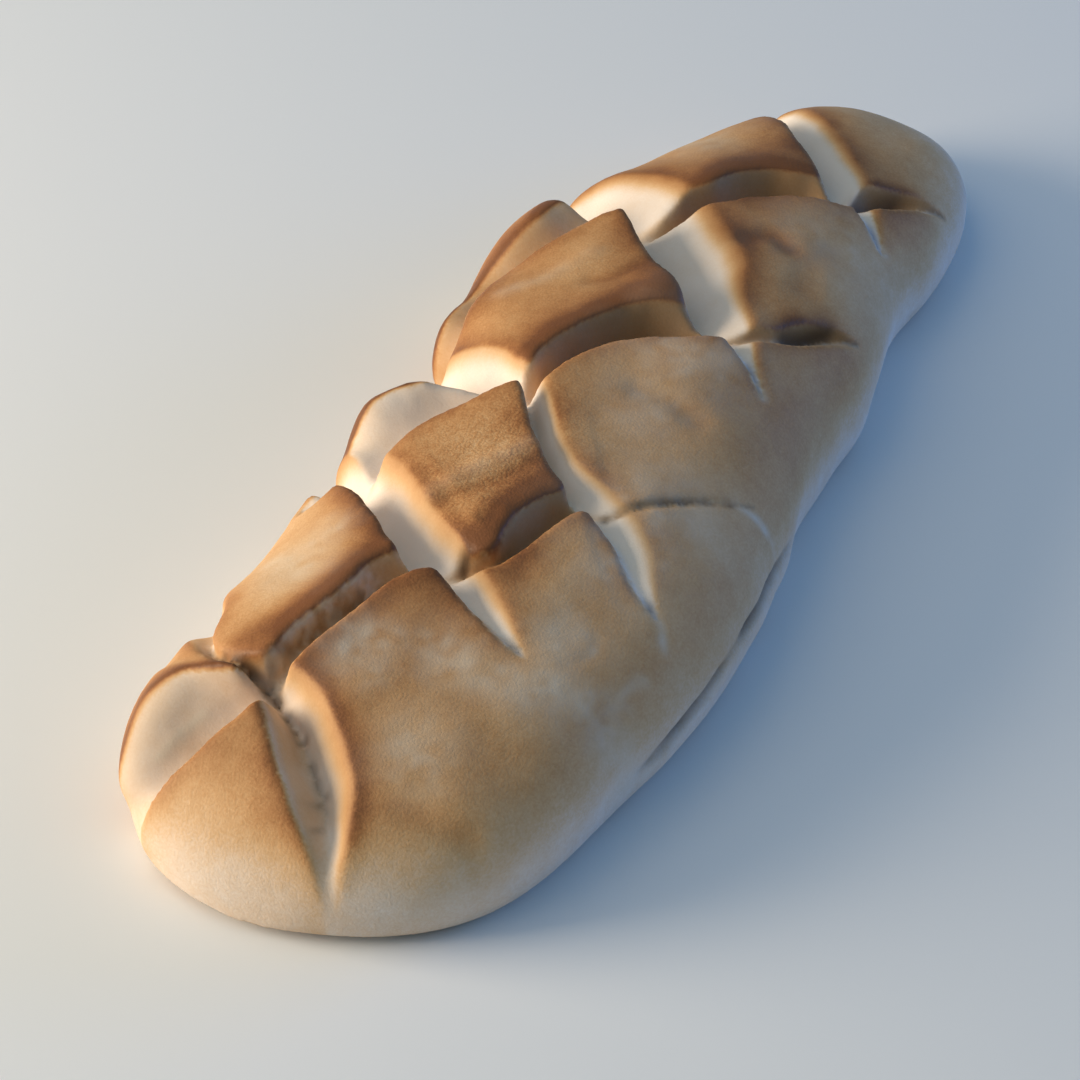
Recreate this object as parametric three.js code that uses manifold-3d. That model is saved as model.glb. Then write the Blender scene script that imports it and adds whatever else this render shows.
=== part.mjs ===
// A long bread loaf, slashed criss-cross before baking. Millimetres: X runs along the loaf from the
// blunt end to the slimmer one, +Y is the loaf's left side, +Z is up and the flat base lies on z = 0.
import * as THREE from "three";
import Module from "manifold-3d";

// Size of the loaf
const LENGTH = 320;
const HALF_LENGTH = LENGTH / 2;

// Half-widths and crown heights at seven even stations from the blunt end to the slimmer end
const LEFT_WIDTHS = [62, 49, 46, 49, 54, 43, 50];
const RIGHT_WIDTHS = [62, 55.5, 57.5, 50.5, 45, 46.5, 58];
const HEIGHTS = [39, 41, 43.5, 45, 43, 39.5, 38];

// Waists and bulges along each side. Each row is x, the change of half-width and its spread along x.
const LEFT_WAISTS = [[-6, -6, 10]];
const RIGHT_WAISTS = [[80, -3.6, 19], [42, 1.8, 11], [2, -1.5, 14]];

// Roundness of the ends in plan, the left-to-right slant of the blunt end, and how the tips lift
const BLUNT_END_POWER = 5.3;
const SLIM_END_POWER = 3.2;
const WIDTH_ROUNDING = 1 / 2;
const HEIGHT_ROUNDING = 1 / 2.6;
const BLUNT_END_SLANT = 0.13;
const SLANT_POWER = 4;
const TIP_LIFT = 2.5;
const TIP_LIFT_SHARE = 0.6;
const TIP_LIFT_POWER = 1.5;

// Cross-section: widest at this share of the height, squarer on the right shoulder than on the left
const WIDEST_LEVEL = 0.35;
const RIGHT_SHOULDER_POWER = 2.5;
const LEFT_SHOULDER_POWER = 2.2;
const BASE_INSET = 7;
const LARGEST_INSET_SHARE = 0.6;

// Facets: columns along the loaf, rows over the crown and rows round each lower edge
const COLUMNS = 66;
const CROWN_ROWS = 30;
const EDGE_ROWS = 3;
const TIP_CROWDING = 0.3;
const STAGGER = 0.25;

// The raised lips fade out near the base and near the tips
const FADE_LOW = 4;
const FADE_HIGH = 14;
const FADE_TIP_START = 148;
const FADE_TIP_END = 158;

// Slashes that opened in the oven. Each row is x, y, the opening left and right of the crease, the height
// of the ear curled up along the left edge and the depth of the crease. Per slash: how far the ear's rise
// reaches back, height of the right lip, share of a long slope in the right bank, how flat that slope
// starts and how softly it rolls over into its lip, ear overhang, and the share of the way along up to
// which the left side is a level terrace.
const SLASHES = [
  {
    // First long stroke, across the blunt end
    rows: [
      [-157, -17.5, 0.6, 0.8, 0, 0.3], [-152.5, -13.5, 2.6, 4.6, 0.8, 3], [-144, -6.5, 5, 8.2, 1.6, 7.2],
      [-133.8, 2.6, 6.2, 8, 1.8, 8.5], [-125.8, 13.6, 3.6, 6.4, 1.6, 9], [-121.3, 22.5, 2, 3, 1, 7.5],
      [-121, 29, 1.2, 1.2, 0.6, 4], [-115, 35.5, 3, 2.4, 0.5, 3.5], [-106.5, 41.5, 4.5, 4, 0.4, 3.5],
      [-96, 50, 3, 3, 0, 1],
    ],
    reach: 16, lip: 0.7, gentle: 1, flat: 1.5, roll: 1.7, overhang: 0, terrace: 0,
  },
  {
    // Second long stroke
    rows: [
      [-96, -28.5, 0.6, 0.8, 0, 0.3], [-92.5, -19.5, 1.4, 4.4, 0.5, 1.8], [-87, -8.5, 1.8, 7.4, 1, 4.4],
      [-81.5, 9, 1.8, 12, 1.6, 8], [-73, 20.5, 1.8, 12.2, 1.6, 8.5], [-64.5, 31, 2, 12.2, 1.4, 8.5],
      [-57, 46, 3, 12, 0.8, 7],
    ],
    reach: 20, lip: 0.5, gentle: 1, flat: 2.6, roll: 2, overhang: 2, terrace: 0,
  },
  {
    // Third long stroke, narrow over the crown and wide open on the left flank
    rows: [
      [-69.5, -46, 0.6, 0.8, 0, 0.3], [-65, -38, 1, 5.6, 0.3, 1.4], [-59, -31, 1.2, 7.6, 0.5, 2.4],
      [-53, -22.5, 1.4, 7.2, 0.9, 3.8], [-48.5, -13, 1.5, 6.8, 1.4, 5.5], [-39, -2, 1.5, 6, 1.8, 6.5],
      [-23, 11, 1.5, 5.5, 1.6, 8], [-21, 20, 3, 9, 1.2, 9], [-21.5, 32, 4, 15, 0.6, 10],
      [-24.5, 47, 4.5, 24, 0.4, 10],
    ],
    reach: 20, lip: 0.3, gentle: 1, flat: 1.7, roll: 1.9, overhang: 2, terrace: 0,
  },
  {
    // Fourth long stroke, the widest
    rows: [
      [6, -35.5, 0.5, 0.8, 0, 0.3], [11.5, -28.5, 0.9, 3, 0.2, 1.1], [18, -18, 2, 10, 0.8, 4.5],
      [25.6, -3.5, 2.4, 19.5, 2.6, 10], [35.6, 8.5, 2.4, 22.8, 2.4, 11], [51.5, 24.5, 2.4, 21, 2, 10],
      [56, 36, 3, 19, 2, 12], [55, 50, 4, 14, 2, 11],
    ],
    reach: 22, lip: 1, gentle: 1, flat: 1.25, roll: 1.5, overhang: 2.8, terrace: 0,
  },
  {
    // Fifth long stroke, near the slimmer end
    rows: [
      [81, -32.5, 0.5, 0.8, 0, 0.3], [87.5, -25, 1, 3.6, 0.3, 1.3], [93, -13, 2, 11, 1.2, 6],
      [101.3, -1.5, 2.2, 14, 2.2, 9], [114.3, 9.5, 2.2, 13.5, 2.6, 9], [126, 23, 2.2, 15, 1.8, 8],
      [134, 36, 2, 13, 1, 6],
    ],
    reach: 22, lip: 0.4, gentle: 1, flat: 1.25, roll: 1.5, overhang: 2.4, terrace: 0,
  },
  {
    // First cross stroke, from the blunt end's left flank down to a fine crack on the right
    rows: [
      [-158, 34, 6, 2, 0.6, 4], [-150, 28, 14, 2.5, 2, 7], [-141, 22.5, 20, 2.8, 3, 9],
      [-132, 18.5, 17, 3, 3, 9], [-125, 16.5, 8, 4, 2, 8], [-119, 15, 4.4, 3, 1.4, 7],
      [-112.5, 13.5, 4.4, 2.6, 1.6, 6], [-101.5, 9.8, 4.6, 2.4, 2, 6], [-88, 5, 5.2, 2.8, 1.6, 7],
      [-77.5, -9, 1.8, 3, 1.2, 6], [-73.5, -11.6, 2, 2.5, 1.8, 7], [-69.5, -13.4, 5.8, 2.5, 2, 7.5],
      [-62, -15.8, 7, 2.5, 2.2, 8], [-54.5, -19.5, 5.4, 2.6, 1.4, 5.5], [-51, -26, 1.1, 1.4, 0.8, 2.4],
      [-42, -34, 0.8, 1, 0.6, 1.8], [-24, -48, 0.5, 0.5, 0, 0.4],
    ],
    reach: 15, lip: 1.2, gentle: 0.3, flat: 1, roll: 1.3, overhang: 1.8, terrace: 0.28,
  },
  {
    // Second cross stroke
    rows: [
      [-66, 41, 2, 3, 0.3, 3], [-54, 34, 7, 4, 0.8, 6], [-38, 29, 13, 4, 1.5, 7],
      [-21, 11, 5, 2.8, 1.6, 9], [-11.5, 6.8, 7.5, 2.6, 2.2, 9.5], [-1.5, 2.8, 8.5, 2.6, 2.6, 10],
      [8, -7, 11, 2.6, 2.2, 10], [17.5, -21, 4, 2.5, 0.6, 4], [25, -29, 2.2, 2.4, 0.3, 2.4],
      [31, -33.5, 3.8, 2.8, 0.4, 5], [37, -37.5, 3, 2.6, 0.3, 4], [44, -42.5, 0.8, 0.8, 0, 0.4],
    ],
    reach: 17, lip: 1.2, gentle: 0.3, flat: 1, roll: 1.3, overhang: 2.6, terrace: 0.25,
  },
  {
    // Third cross stroke
    rows: [
      [-7, 44, 2, 5.5, 0.5, 5], [10, 45, 3, 5.5, 1.5, 7], [25, 43, 6, 4.5, 2.4, 7.5],
      [38, 34.5, 9, 4, 2.6, 7], [49, 27, 12, 3.5, 2.6, 7], [57, 15, 5.5, 3, 1.2, 9],
      [68, 6, 7, 2.8, 2.2, 9.5], [76, -1, 10.5, 2.8, 2.6, 10], [83.5, -12.5, 9, 2.6, 1.4, 7],
      [90, -20.5, 4, 2.8, 0.6, 4], [97, -24.5, 6.5, 3.6, 0.6, 6.5], [103, -28, 5, 3.2, 0.4, 5.5],
      [114, -36, 0.8, 0.8, 0, 0.4],
    ],
    reach: 17, lip: 1.2, gentle: 0.3, flat: 1, roll: 1.3, overhang: 2.4, terrace: 0.37,
  },
];

// Corners of the crust that lifted and plates that sank. Each row is x, y, radius and height.
const SWELLS = [
  [-26, 14, 7, 1], [-87, 1, 6, 1], [21, 0, 6, 1.4], [-68, -4, 6, 1.4], [140, 0, 20, 1.6],
  [131, 27, 15, -3.4], [-35, 46, 7, 7.5], [-30, 38, 7, 2.5], [-51, 43, 5, 2], [45, 47, 9, 2.8],
  [28, 48, 10, -4.2], [8, 47, 9, 1.5], [14, 21, 15, -1.2], [-104, -12, 11, -1],
];

// Shared habits of the slashes
const STEP_LENGTH = 5;
const NARROWEST_OPENING = 0.5;
const SHALLOWEST_CREASE = 0.3;
const FULL_OPENING = 9;
const END_TAPER = 0.07;
const TERRACE_BLEND = 0.05;
const LIP_REACH = 9;
const LIP_START = 0.2;
const OPENING_EDGE = { from: 0.8, to: 1.1 };
const EDGE_ROUNDING = 1;
const FULL_OVERHANG_EAR = 2.5;
const LEAST_EDGE_SHARE = 0.3;
const UNDERCUT_LEVEL = 0.45;
const TERRACE_EDGE = 0.06;
const CREASE_FLOOR = { across: 0.35, level: 0.93 };
const TERRACE_FLOOR = { across: 0.5, level: 0.5 };
const BANK_STEPS = [0.25, 0.5, 0.75];
const BANK_EXIT = 0.6;
const FLANK_SLOPE = 2;
const ABOVE_LOAF = 80;

const crustMaterial = new THREE.MeshStandardMaterial({ color: 0xb88a5c, roughness: 0.72, metalness: 0 });

const { clamp, lerp, smoothstep } = THREE.MathUtils;
const wasm = await Module();
wasm.setup();

// Smooth curve through four even values, t running from the second to the third
function curveThrough(a, b, c, d, t) {
  const t2 = t * t;
  return 0.5 * (2 * b + (c - a) * t + (2 * a - 5 * b + 4 * c - d) * t2 + (3 * b - a - 3 * c + d) * t2 * t);
}

// Value at s, from -1 at the blunt tip to 1 at the slim tip, of a smooth curve through even stations
function stationValue(values, s) {
  const last = values.length - 1;
  const place = ((s + 1) / 2) * last;
  const i = clamp(Math.floor(place), 0, last - 1);
  const at = (k) => values[clamp(k, 0, last)];
  return curveThrough(at(i - 1), at(i), at(i + 1), at(i + 2), place - i);
}

// Change of half-width that one side's waists and bulges give at s
function waistChange(waists, s) {
  return waists.reduce((sum, [x, change, spread]) => (
    sum + change * Math.exp(-(((s * HALF_LENGTH - x) / spread) ** 2))
  ), 0);
}

// Section sizes at s: half-widths, crown height and lift of the underside, all closing at the tips
function sectionAt(s) {
  const power = s < 0 ? BLUNT_END_POWER : SLIM_END_POWER;
  const fullness = Math.max(1 - Math.abs(s) ** power, 0);
  const taper = fullness ** WIDTH_ROUNDING;
  const height = stationValue(HEIGHTS, s) * fullness ** HEIGHT_ROUNDING;
  const lift = TIP_LIFT * Math.max(1 - fullness / TIP_LIFT_SHARE, 0) ** TIP_LIFT_POWER;
  return {
    left: stationValue(LEFT_WIDTHS, s) * taper + waistChange(LEFT_WAISTS, s),
    right: stationValue(RIGHT_WIDTHS, s) * taper + waistChange(RIGHT_WAISTS, s),
    height,
    widest: WIDEST_LEVEL * height,
    lift,
    squash: lift > 0 ? height / (height + lift) : 1,
  };
}

// Squareness of the shoulder, blending from right to left; across runs from -1 to 1
function shoulderPower(across) {
  return lerp(RIGHT_SHOULDER_POWER, LEFT_SHOULDER_POWER, smoothstep(across, -1, 1));
}

// Places round the section, from the right base edge over the crown to the left base edge
function sectionRows() {
  const edge = (side, k) => ({ onEdge: true, side, angle: ((Math.PI / 2) * k) / EDGE_ROWS });
  const rows = [];
  for (let k = EDGE_ROWS; k > 0; k -= 1) {
    rows.push(edge(-1, k));
  }
  for (let k = 0; k < CROWN_ROWS; k += 1) {
    const angle = Math.PI * (k / (CROWN_ROWS - 1) - 0.5);
    rows.push({ onEdge: false, side: Math.sign(angle) || 1, angle });
  }
  for (let k = 1; k <= EDGE_ROWS; k += 1) {
    rows.push(edge(1, k));
  }
  return rows;
}

// Point of the plain loaf, before it is slashed
function plainPoint(row, s) {
  const section = sectionAt(s);
  const width = row.side > 0 ? section.left : section.right;
  let y;
  let z;
  if (row.onEdge) {
    const inset = Math.min(BASE_INSET, LARGEST_INSET_SHARE * width);
    y = row.side * (width - inset * (1 - Math.cos(row.angle)));
    z = section.widest * (1 - Math.sin(row.angle));
  } else {
    const across = Math.sin(row.angle);
    const upward = Math.max(Math.cos(row.angle), 0);
    const power = shoulderPower(across);
    const reach = (Math.abs(across) ** power + upward ** power) ** (-1 / power);
    y = width * across * reach;
    z = section.widest + (section.height - section.widest) * upward * reach;
  }
  const x = s * HALF_LENGTH - BLUNT_END_SLANT * y * Math.max(0, -s) ** SLANT_POWER;
  return new THREE.Vector3(x, y, section.lift + z * section.squash);
}

// Height of the plain crown over a plan point, carried on down a steep flank past the widest line
function crownHeight(x, y) {
  const lean = BLUNT_END_SLANT * y * Math.max(0, -x / HALF_LENGTH) ** SLANT_POWER;
  const section = sectionAt(clamp((x + lean) / HALF_LENGTH, -1, 1));
  const width = y > 0 ? section.left : section.right;
  const across = Math.abs(y) / Math.max(width, 1);
  const power = shoulderPower(Math.sign(y) * Math.min(across, 1));
  const arch = (section.height - section.widest) * Math.max(1 - across ** power, 0) ** (1 / power);
  const flank = FLANK_SLOPE * Math.max(Math.abs(y) - width, 0);
  return section.lift + (section.widest + arch) * section.squash - flank;
}

// Share of the half-length at a column, with columns crowded toward both tips; rows alternate by
// half a column so that the facets run along both families of slashes
function columnShare(column, rowIndex) {
  const stagger = rowIndex % 2 ? STAGGER : -STAGGER;
  const place = (2 * (column + 0.5 + stagger)) / COLUMNS - 1;
  const fromTip = 1 - Math.abs(place);
  const eased = fromTip < TIP_CROWDING
    ? (fromTip * fromTip) / (2 * TIP_CROWDING)
    : fromTip - TIP_CROWDING / 2;
  return Math.sign(place) * (1 - eased / (1 - TIP_CROWDING / 2));
}

// The crease of a slash as even short steps along a smooth curve through its rows
function creaseSteps({ rows, terrace }) {
  const last = rows.length - 1;
  const beyond = (end, inner) => end.map((value, k) => 2 * value - inner[k]);
  const padded = [beyond(rows[0], rows[1]), ...rows, beyond(rows[last], rows[last - 1])];
  const points = [];
  for (let i = 0; i < last; i += 1) {
    const span = Math.hypot(rows[i + 1][0] - rows[i][0], rows[i + 1][1] - rows[i][1]);
    const count = Math.max(1, Math.round(span / STEP_LENGTH));
    for (let k = 0; k < count; k += 1) {
      points.push(rows[0].map((_, c) => curveThrough(
        padded[i][c], padded[i + 1][c], padded[i + 2][c], padded[i + 3][c], k / count,
      )));
    }
  }
  points.push(rows[last]);
  return points.map(([x, y, left, right, ear, depth], i) => {
    const place = i / (points.length - 1);
    return {
      x,
      y,
      left: Math.max(left, NARROWEST_OPENING),
      right: Math.max(right, NARROWEST_OPENING),
      ear: Math.max(ear, 0),
      depth: Math.max(depth, SHALLOWEST_CREASE),
      level: 1 - smoothstep(place, terrace - TERRACE_BLEND, terrace + TERRACE_BLEND),
      taper: smoothstep(place, 0, END_TAPER) * (1 - smoothstep(place, 1 - END_TAPER, 1)),
    };
  });
}

// Where a plan point stands beside a slash: side, distance, opening on that side, ear and taper
function besideSlash(crease, x, y) {
  let best = { distance: Infinity };
  for (let i = 0; i + 1 < crease.length; i += 1) {
    const [a, b] = [crease[i], crease[i + 1]];
    const along = { x: b.x - a.x, y: b.y - a.y };
    const span = along.x ** 2 + along.y ** 2;
    const t = clamp(((x - a.x) * along.x + (y - a.y) * along.y) / span, 0, 1);
    const off = { x: x - a.x - t * along.x, y: y - a.y - t * along.y };
    const distance = Math.hypot(off.x, off.y);
    if (distance < best.distance) {
      best = { distance, a, b, t, onLeft: along.x * off.y - along.y * off.x >= 0 };
    }
  }
  const between = (key) => lerp(best.a[key], best.b[key], best.t);
  const [left, right] = [between("left"), between("right")];
  return {
    onLeft: best.onLeft,
    distance: best.distance,
    opening: best.onLeft ? left : right,
    openness: Math.min(1, (left + right) / FULL_OPENING),
    ear: between("ear"),
    taper: between("taper"),
  };
}

// Rise of the ear or lip that one slash gives at a plan point, and how far the point is in its opening
function lipAt(slash, x, y) {
  const spot = besideSlash(slash.crease, x, y);
  const outside = Math.max(spot.distance - spot.opening, 0);
  const back = Math.hypot(outside, EDGE_ROUNDING) - EDGE_ROUNDING;
  const rise = spot.onLeft ? spot.ear : slash.lip * spot.openness * spot.taper;
  return {
    rise: rise * Math.exp(-back / (spot.onLeft ? slash.reach : LIP_REACH)),
    inside: 1 - smoothstep(spot.distance / spot.opening, OPENING_EDGE.from, OPENING_EDGE.to),
  };
}

// Point of the loaf with every ear and lip raised along the normal and every corner lifted, not yet cut
function raisedPoint(point, normal, slashes) {
  const fade = smoothstep(point.z, FADE_LOW, FADE_HIGH)
    * (1 - smoothstep(Math.abs(point.x), FADE_TIP_START, FADE_TIP_END));
  const lips = slashes.map((slash) => lipAt(slash, point.x, point.y));
  const rise = lips.reduce((sum, lip) => {
    const clear = lips.reduce((share, other) => (other === lip ? share : share * (1 - other.inside)), 1);
    return sum + lip.rise * clear;
  }, 0);
  const swell = SWELLS.reduce((sum, [x, y, radius, height]) => (
    sum + height * Math.exp(-((Math.hypot(point.x - x, point.y - y) / radius) ** 2))
  ), 0);
  const raised = point.clone().addScaledVector(normal, rise * fade);
  return raised.setZ(raised.z + swell * fade);
}

// Outward normal of the plain loaf at a grid place, from its neighbours
function plainNormal(grid, j, i) {
  const rows = grid.length;
  const along = grid[j][Math.min(i + 1, COLUMNS - 1)].clone().sub(grid[j][Math.max(i - 1, 0)]);
  const round = grid[(j + 1) % rows][i].clone().sub(grid[(j + rows - 1) % rows][i]);
  return along.cross(round).normalize();
}

// Facets of the staggered grid, closed round the section and with a fan at each tip
function loafFacets(rowCount) {
  const index = [];
  const blunt = rowCount * COLUMNS;
  const slim = blunt + 1;
  for (let j = 0; j < rowCount; j += 1) {
    const here = j * COLUMNS;
    const next = ((j + 1) % rowCount) * COLUMNS;
    for (let i = 0; i + 1 < COLUMNS; i += 1) {
      const [a, b, c, d] = [here + i, here + i + 1, next + i, next + i + 1];
      index.push(...(j % 2 ? [a, b, d, a, d, c] : [a, b, c, b, d, c]));
    }
    index.push(blunt, here, next, slim, next + COLUMNS - 1, here + COLUMNS - 1);
  }
  return index;
}

// Solid body from corner points and facets
function solid(points, index) {
  const mesh = new wasm.Mesh({
    numProp: 3,
    vertProperties: Float32Array.from(points.flatMap((p) => [p.x, p.y, p.z])),
    triVerts: Uint32Array.from(index),
  });
  return new wasm.Manifold(mesh);
}

// The uncut loaf with its raised ears and lips
function raisedLoaf(slashes) {
  const plain = sectionRows().map((row, j) => (
    Array.from({ length: COLUMNS }, (_, i) => plainPoint(row, columnShare(i, j)))
  ));
  const points = plain.flatMap((line, j) => (
    line.map((point, i) => raisedPoint(point, plainNormal(plain, j, i), slashes))
  ));
  points.push(new THREE.Vector3(-HALF_LENGTH, 0, TIP_LIFT), new THREE.Vector3(HALF_LENGTH, 0, TIP_LIFT));
  return solid(points, loafFacets(plain.length));
}

// Outline across an opened slash at one step of its crease: a steep, undercut left bank below the ear or
// a level terrace, the crease, and a right bank that climbs to the lip; closed high above the loaf
function grooveOutline(slash, step, leftward) {
  const { depth, level } = step;
  const openness = Math.min(1, (step.left + step.right) / FULL_OPENING);
  const overhang = slash.overhang * openness * step.taper * Math.min(1, step.ear / FULL_OVERHANG_EAR);
  const edge = Math.max(step.left - overhang, LEAST_EDGE_SHARE * step.left);
  const lip = slash.lip * openness * step.taper;
  const above = (offset) => (
    new THREE.Vector3(step.x + offset * leftward.x, step.y + offset * leftward.y, ABOVE_LOAF)
  );
  const sunk = (offset, drop) => {
    const point = above(offset);
    return point.setZ(crownHeight(point.x, point.y) - drop);
  };
  const bank = (t) => {
    const plain = 1 - smoothstep(t, 0, 1);
    const share = lerp(plain, (1 - t ** slash.flat) ** slash.roll, slash.gentle);
    return sunk(-t * step.right, depth * share - lip * smoothstep(t, LIP_START, 1));
  };
  return [
    above(edge),
    sunk(edge, 0),
    sunk(step.left, lerp(UNDERCUT_LEVEL, TERRACE_EDGE, level) * depth),
    sunk(
      lerp(CREASE_FLOOR.across, TERRACE_FLOOR.across, level) * step.left,
      lerp(CREASE_FLOOR.level, TERRACE_FLOOR.level, level) * depth,
    ),
    sunk(0, depth),
    ...BANK_STEPS.map(bank),
    sunk(-step.right, -lip - BANK_EXIT),
    above(-step.right),
  ];
}

// The body of air in an opened slash, swept along its crease
function grooveBody(slash) {
  const { crease } = slash;
  const outlines = crease.map((step, i) => {
    const before = crease[Math.max(i - 1, 0)];
    const after = crease[Math.min(i + 1, crease.length - 1)];
    const leftward = new THREE.Vector2(before.y - after.y, after.x - before.x).normalize();
    return grooveOutline(slash, step, leftward);
  });
  const count = outlines[0].length;
  const index = [];
  for (let i = 0; i + 1 < outlines.length; i += 1) {
    for (let k = 0; k < count; k += 1) {
      const [a, b] = [i * count + k, i * count + ((k + 1) % count)];
      index.push(a, a + count, b, b, a + count, b + count);
    }
  }
  const last = (outlines.length - 1) * count;
  for (let k = 1; k + 1 < count; k += 1) {
    index.push(0, k, k + 1, last, last + k + 1, last + k);
  }
  return solid(outlines.flat(), index);
}

// The whole loaf: raised, opened along every slash and centred over the origin
function loafGeometry() {
  const slashes = SLASHES.map((slash) => ({ ...slash, crease: creaseSteps(slash) }));
  const opened = slashes.reduce((body, slash) => body.subtract(grooveBody(slash)), raisedLoaf(slashes));
  const pieces = opened.decompose();
  const whole = pieces.reduce((best, piece) => (piece.volume() > best.volume() ? piece : best));
  const { vertProperties, triVerts } = whole.getMesh();
  const geometry = new THREE.BufferGeometry();
  geometry.setAttribute("position", new THREE.BufferAttribute(vertProperties, 3));
  geometry.setIndex(new THREE.BufferAttribute(triVerts, 1));
  geometry.computeBoundingBox();
  const middle = geometry.boundingBox.getCenter(new THREE.Vector3());
  geometry.translate(-middle.x, -middle.y, 0);
  geometry.computeVertexNormals();
  return geometry;
}

const loaf = new THREE.Mesh(loafGeometry(), crustMaterial);
loaf.name = "loaf";

const bread = new THREE.Group();
bread.add(loaf);

export default bread;
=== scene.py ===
"""A long bread loaf, slashed criss-cross before baking, on a plain pale studio floor.

Lengths in the loaf's own classes are millimetres, as in the part, and become metres when a mesh is made.
X runs along the loaf from the blunt end to the slimmer one, +Y is the loaf's left and +Z is up.
"""
import logging
import math
from dataclasses import dataclass, fields, replace
from enum import Enum

import bpy
import numpy as np
from bpy.types import Material, Node, NodeSocket, NodeTree, Object
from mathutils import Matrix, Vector


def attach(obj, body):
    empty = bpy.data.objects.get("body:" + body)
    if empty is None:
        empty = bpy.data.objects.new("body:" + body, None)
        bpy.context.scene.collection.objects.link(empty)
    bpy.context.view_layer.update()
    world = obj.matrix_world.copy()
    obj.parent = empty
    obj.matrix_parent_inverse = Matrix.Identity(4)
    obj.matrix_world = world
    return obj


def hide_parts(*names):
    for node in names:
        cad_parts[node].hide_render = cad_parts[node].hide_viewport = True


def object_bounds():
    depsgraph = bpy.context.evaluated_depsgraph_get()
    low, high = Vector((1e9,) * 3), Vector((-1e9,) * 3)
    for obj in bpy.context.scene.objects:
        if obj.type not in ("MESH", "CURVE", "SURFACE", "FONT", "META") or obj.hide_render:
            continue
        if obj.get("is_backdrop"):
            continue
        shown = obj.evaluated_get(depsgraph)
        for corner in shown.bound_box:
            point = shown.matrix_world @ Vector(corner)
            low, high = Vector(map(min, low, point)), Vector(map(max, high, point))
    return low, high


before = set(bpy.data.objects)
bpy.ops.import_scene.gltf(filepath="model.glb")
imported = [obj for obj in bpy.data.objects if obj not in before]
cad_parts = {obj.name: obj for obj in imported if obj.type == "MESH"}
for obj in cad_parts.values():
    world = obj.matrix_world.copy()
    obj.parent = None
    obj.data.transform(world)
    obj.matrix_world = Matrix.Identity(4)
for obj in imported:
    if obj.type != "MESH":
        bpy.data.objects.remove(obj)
CAD_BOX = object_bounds()

MM = 0.001
LOAF_NODE = "loaf"
LOAF_BODY = "root"

Triple = tuple[float, float, float]
Pairs = tuple[tuple[float, float], ...]
Rows = tuple[tuple[float, ...], ...]

TINY = 1e-9
LENGTHWISE = np.array([1, 0, 0])

log = logging.getLogger("loaf")


class Tone(Enum):
    """What the baking left on the surface, with painted shade and painted sheen carried in the dark and
    flour tones, kept as one attribute each on the loaf's mesh.
    """

    BROWNING = "browning"
    FLOUR = "flour"
    DARK = "dark"
    CRUMB = "crumb"
    GRAIN = "grain"


def smooth(low: float, high: float, value: np.ndarray) -> np.ndarray:
    """Ease from 0 at low to 1 at high."""
    t = np.clip((value - low) / (high - low), 0, 1)
    return t * t * (3 - 2 * t)


def mix(a: np.ndarray | float, b: np.ndarray | float, share: np.ndarray | float) -> np.ndarray | float:
    """Blend from a to b by a share between 0 and 1."""
    return a + (b - a) * share


def curve_through(values: np.ndarray, place: np.ndarray) -> np.ndarray:
    """Smooth curve through evenly spaced values.

    Args:
        values: one value, or one row of values, for each station.
        place: where to read the curve, in stations from 0.

    Returns:
        The curve's value, or row of values, at each place.
    """
    padded = np.concatenate([2 * values[:1] - values[1:2], values, 2 * values[-1:] - values[-2:-1]])
    start = np.clip(np.floor(place).astype(int), 0, len(values) - 2)
    t = (place - start).reshape(place.shape + (1,) * (values.ndim - 1))
    a, b, c, d = (padded[start + k] for k in range(4))
    return 0.5 * (2 * b + (c - a) * t + (2 * a - 5 * b + 4 * c - d) * t**2 + (3 * b - a - 3 * c + d) * t**3)


def lattice_value(corner: np.ndarray, seed: int) -> np.ndarray:
    """Fixed random value between -1 and 1 for each whole-number lattice corner.

    Args:
        corner: lattice corners, one row of three whole numbers each.
        seed: which set of values to use.

    Returns:
        One value for each corner.
    """
    mask = 0xFFFFFFFF
    mixed = (corner[..., 0] * 374761393 + corner[..., 1] * 668265263 + corner[..., 2] * 2147483647) & mask
    mixed = (mixed + seed * 982451653) & mask
    mixed = ((mixed ^ (mixed >> 13)) * 1274126177) & mask
    mixed = ((mixed ^ (mixed >> 15)) * 2246822519) & mask
    return ((mixed ^ (mixed >> 16)) & 0xFFFF) / 32767.5 - 1


def noise(points: np.ndarray, size: float, seed: int) -> np.ndarray:
    """Smooth noise between about -1 and 1.

    Args:
        points: places in millimetres, one row of three each.
        size: width of one lump in millimetres.
        seed: which noise to use.

    Returns:
        One value for each point.
    """
    scaled = points / size
    corner = np.floor(scaled).astype(np.int64)
    t = scaled - corner
    t = t * t * t * (t * (t * 6 - 15) + 10)
    total = np.zeros(points.shape[:-1])
    for step in np.ndindex(2, 2, 2):
        weight = np.prod(np.where(np.array(step) == 1, t, 1 - t), axis=-1)
        total += weight * lattice_value(corner + np.array(step), seed)
    return total


@dataclass(frozen=True)
class Lumps:
    """Smooth unevenness in layers, each with its amount, the width of its lumps and its seed."""

    layers: tuple[tuple[float, float, int], ...]

    def at(self, points: np.ndarray) -> np.ndarray:
        """Unevenness at each point."""
        return sum(amount * noise(points, size, seed) for amount, size, seed in self.layers)


@dataclass(frozen=True)
class Beside:
    """Where plan points stand beside a slash's crease.

    The distance is positive on the left. The openings, ear and depth are those of the nearest place on the
    crease, place is its share of the way along, and leftward is the direction to the left there.
    """

    distance: np.ndarray
    left: np.ndarray
    right: np.ndarray
    ear: np.ndarray
    depth: np.ndarray
    place: np.ndarray
    leftward: np.ndarray


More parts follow.
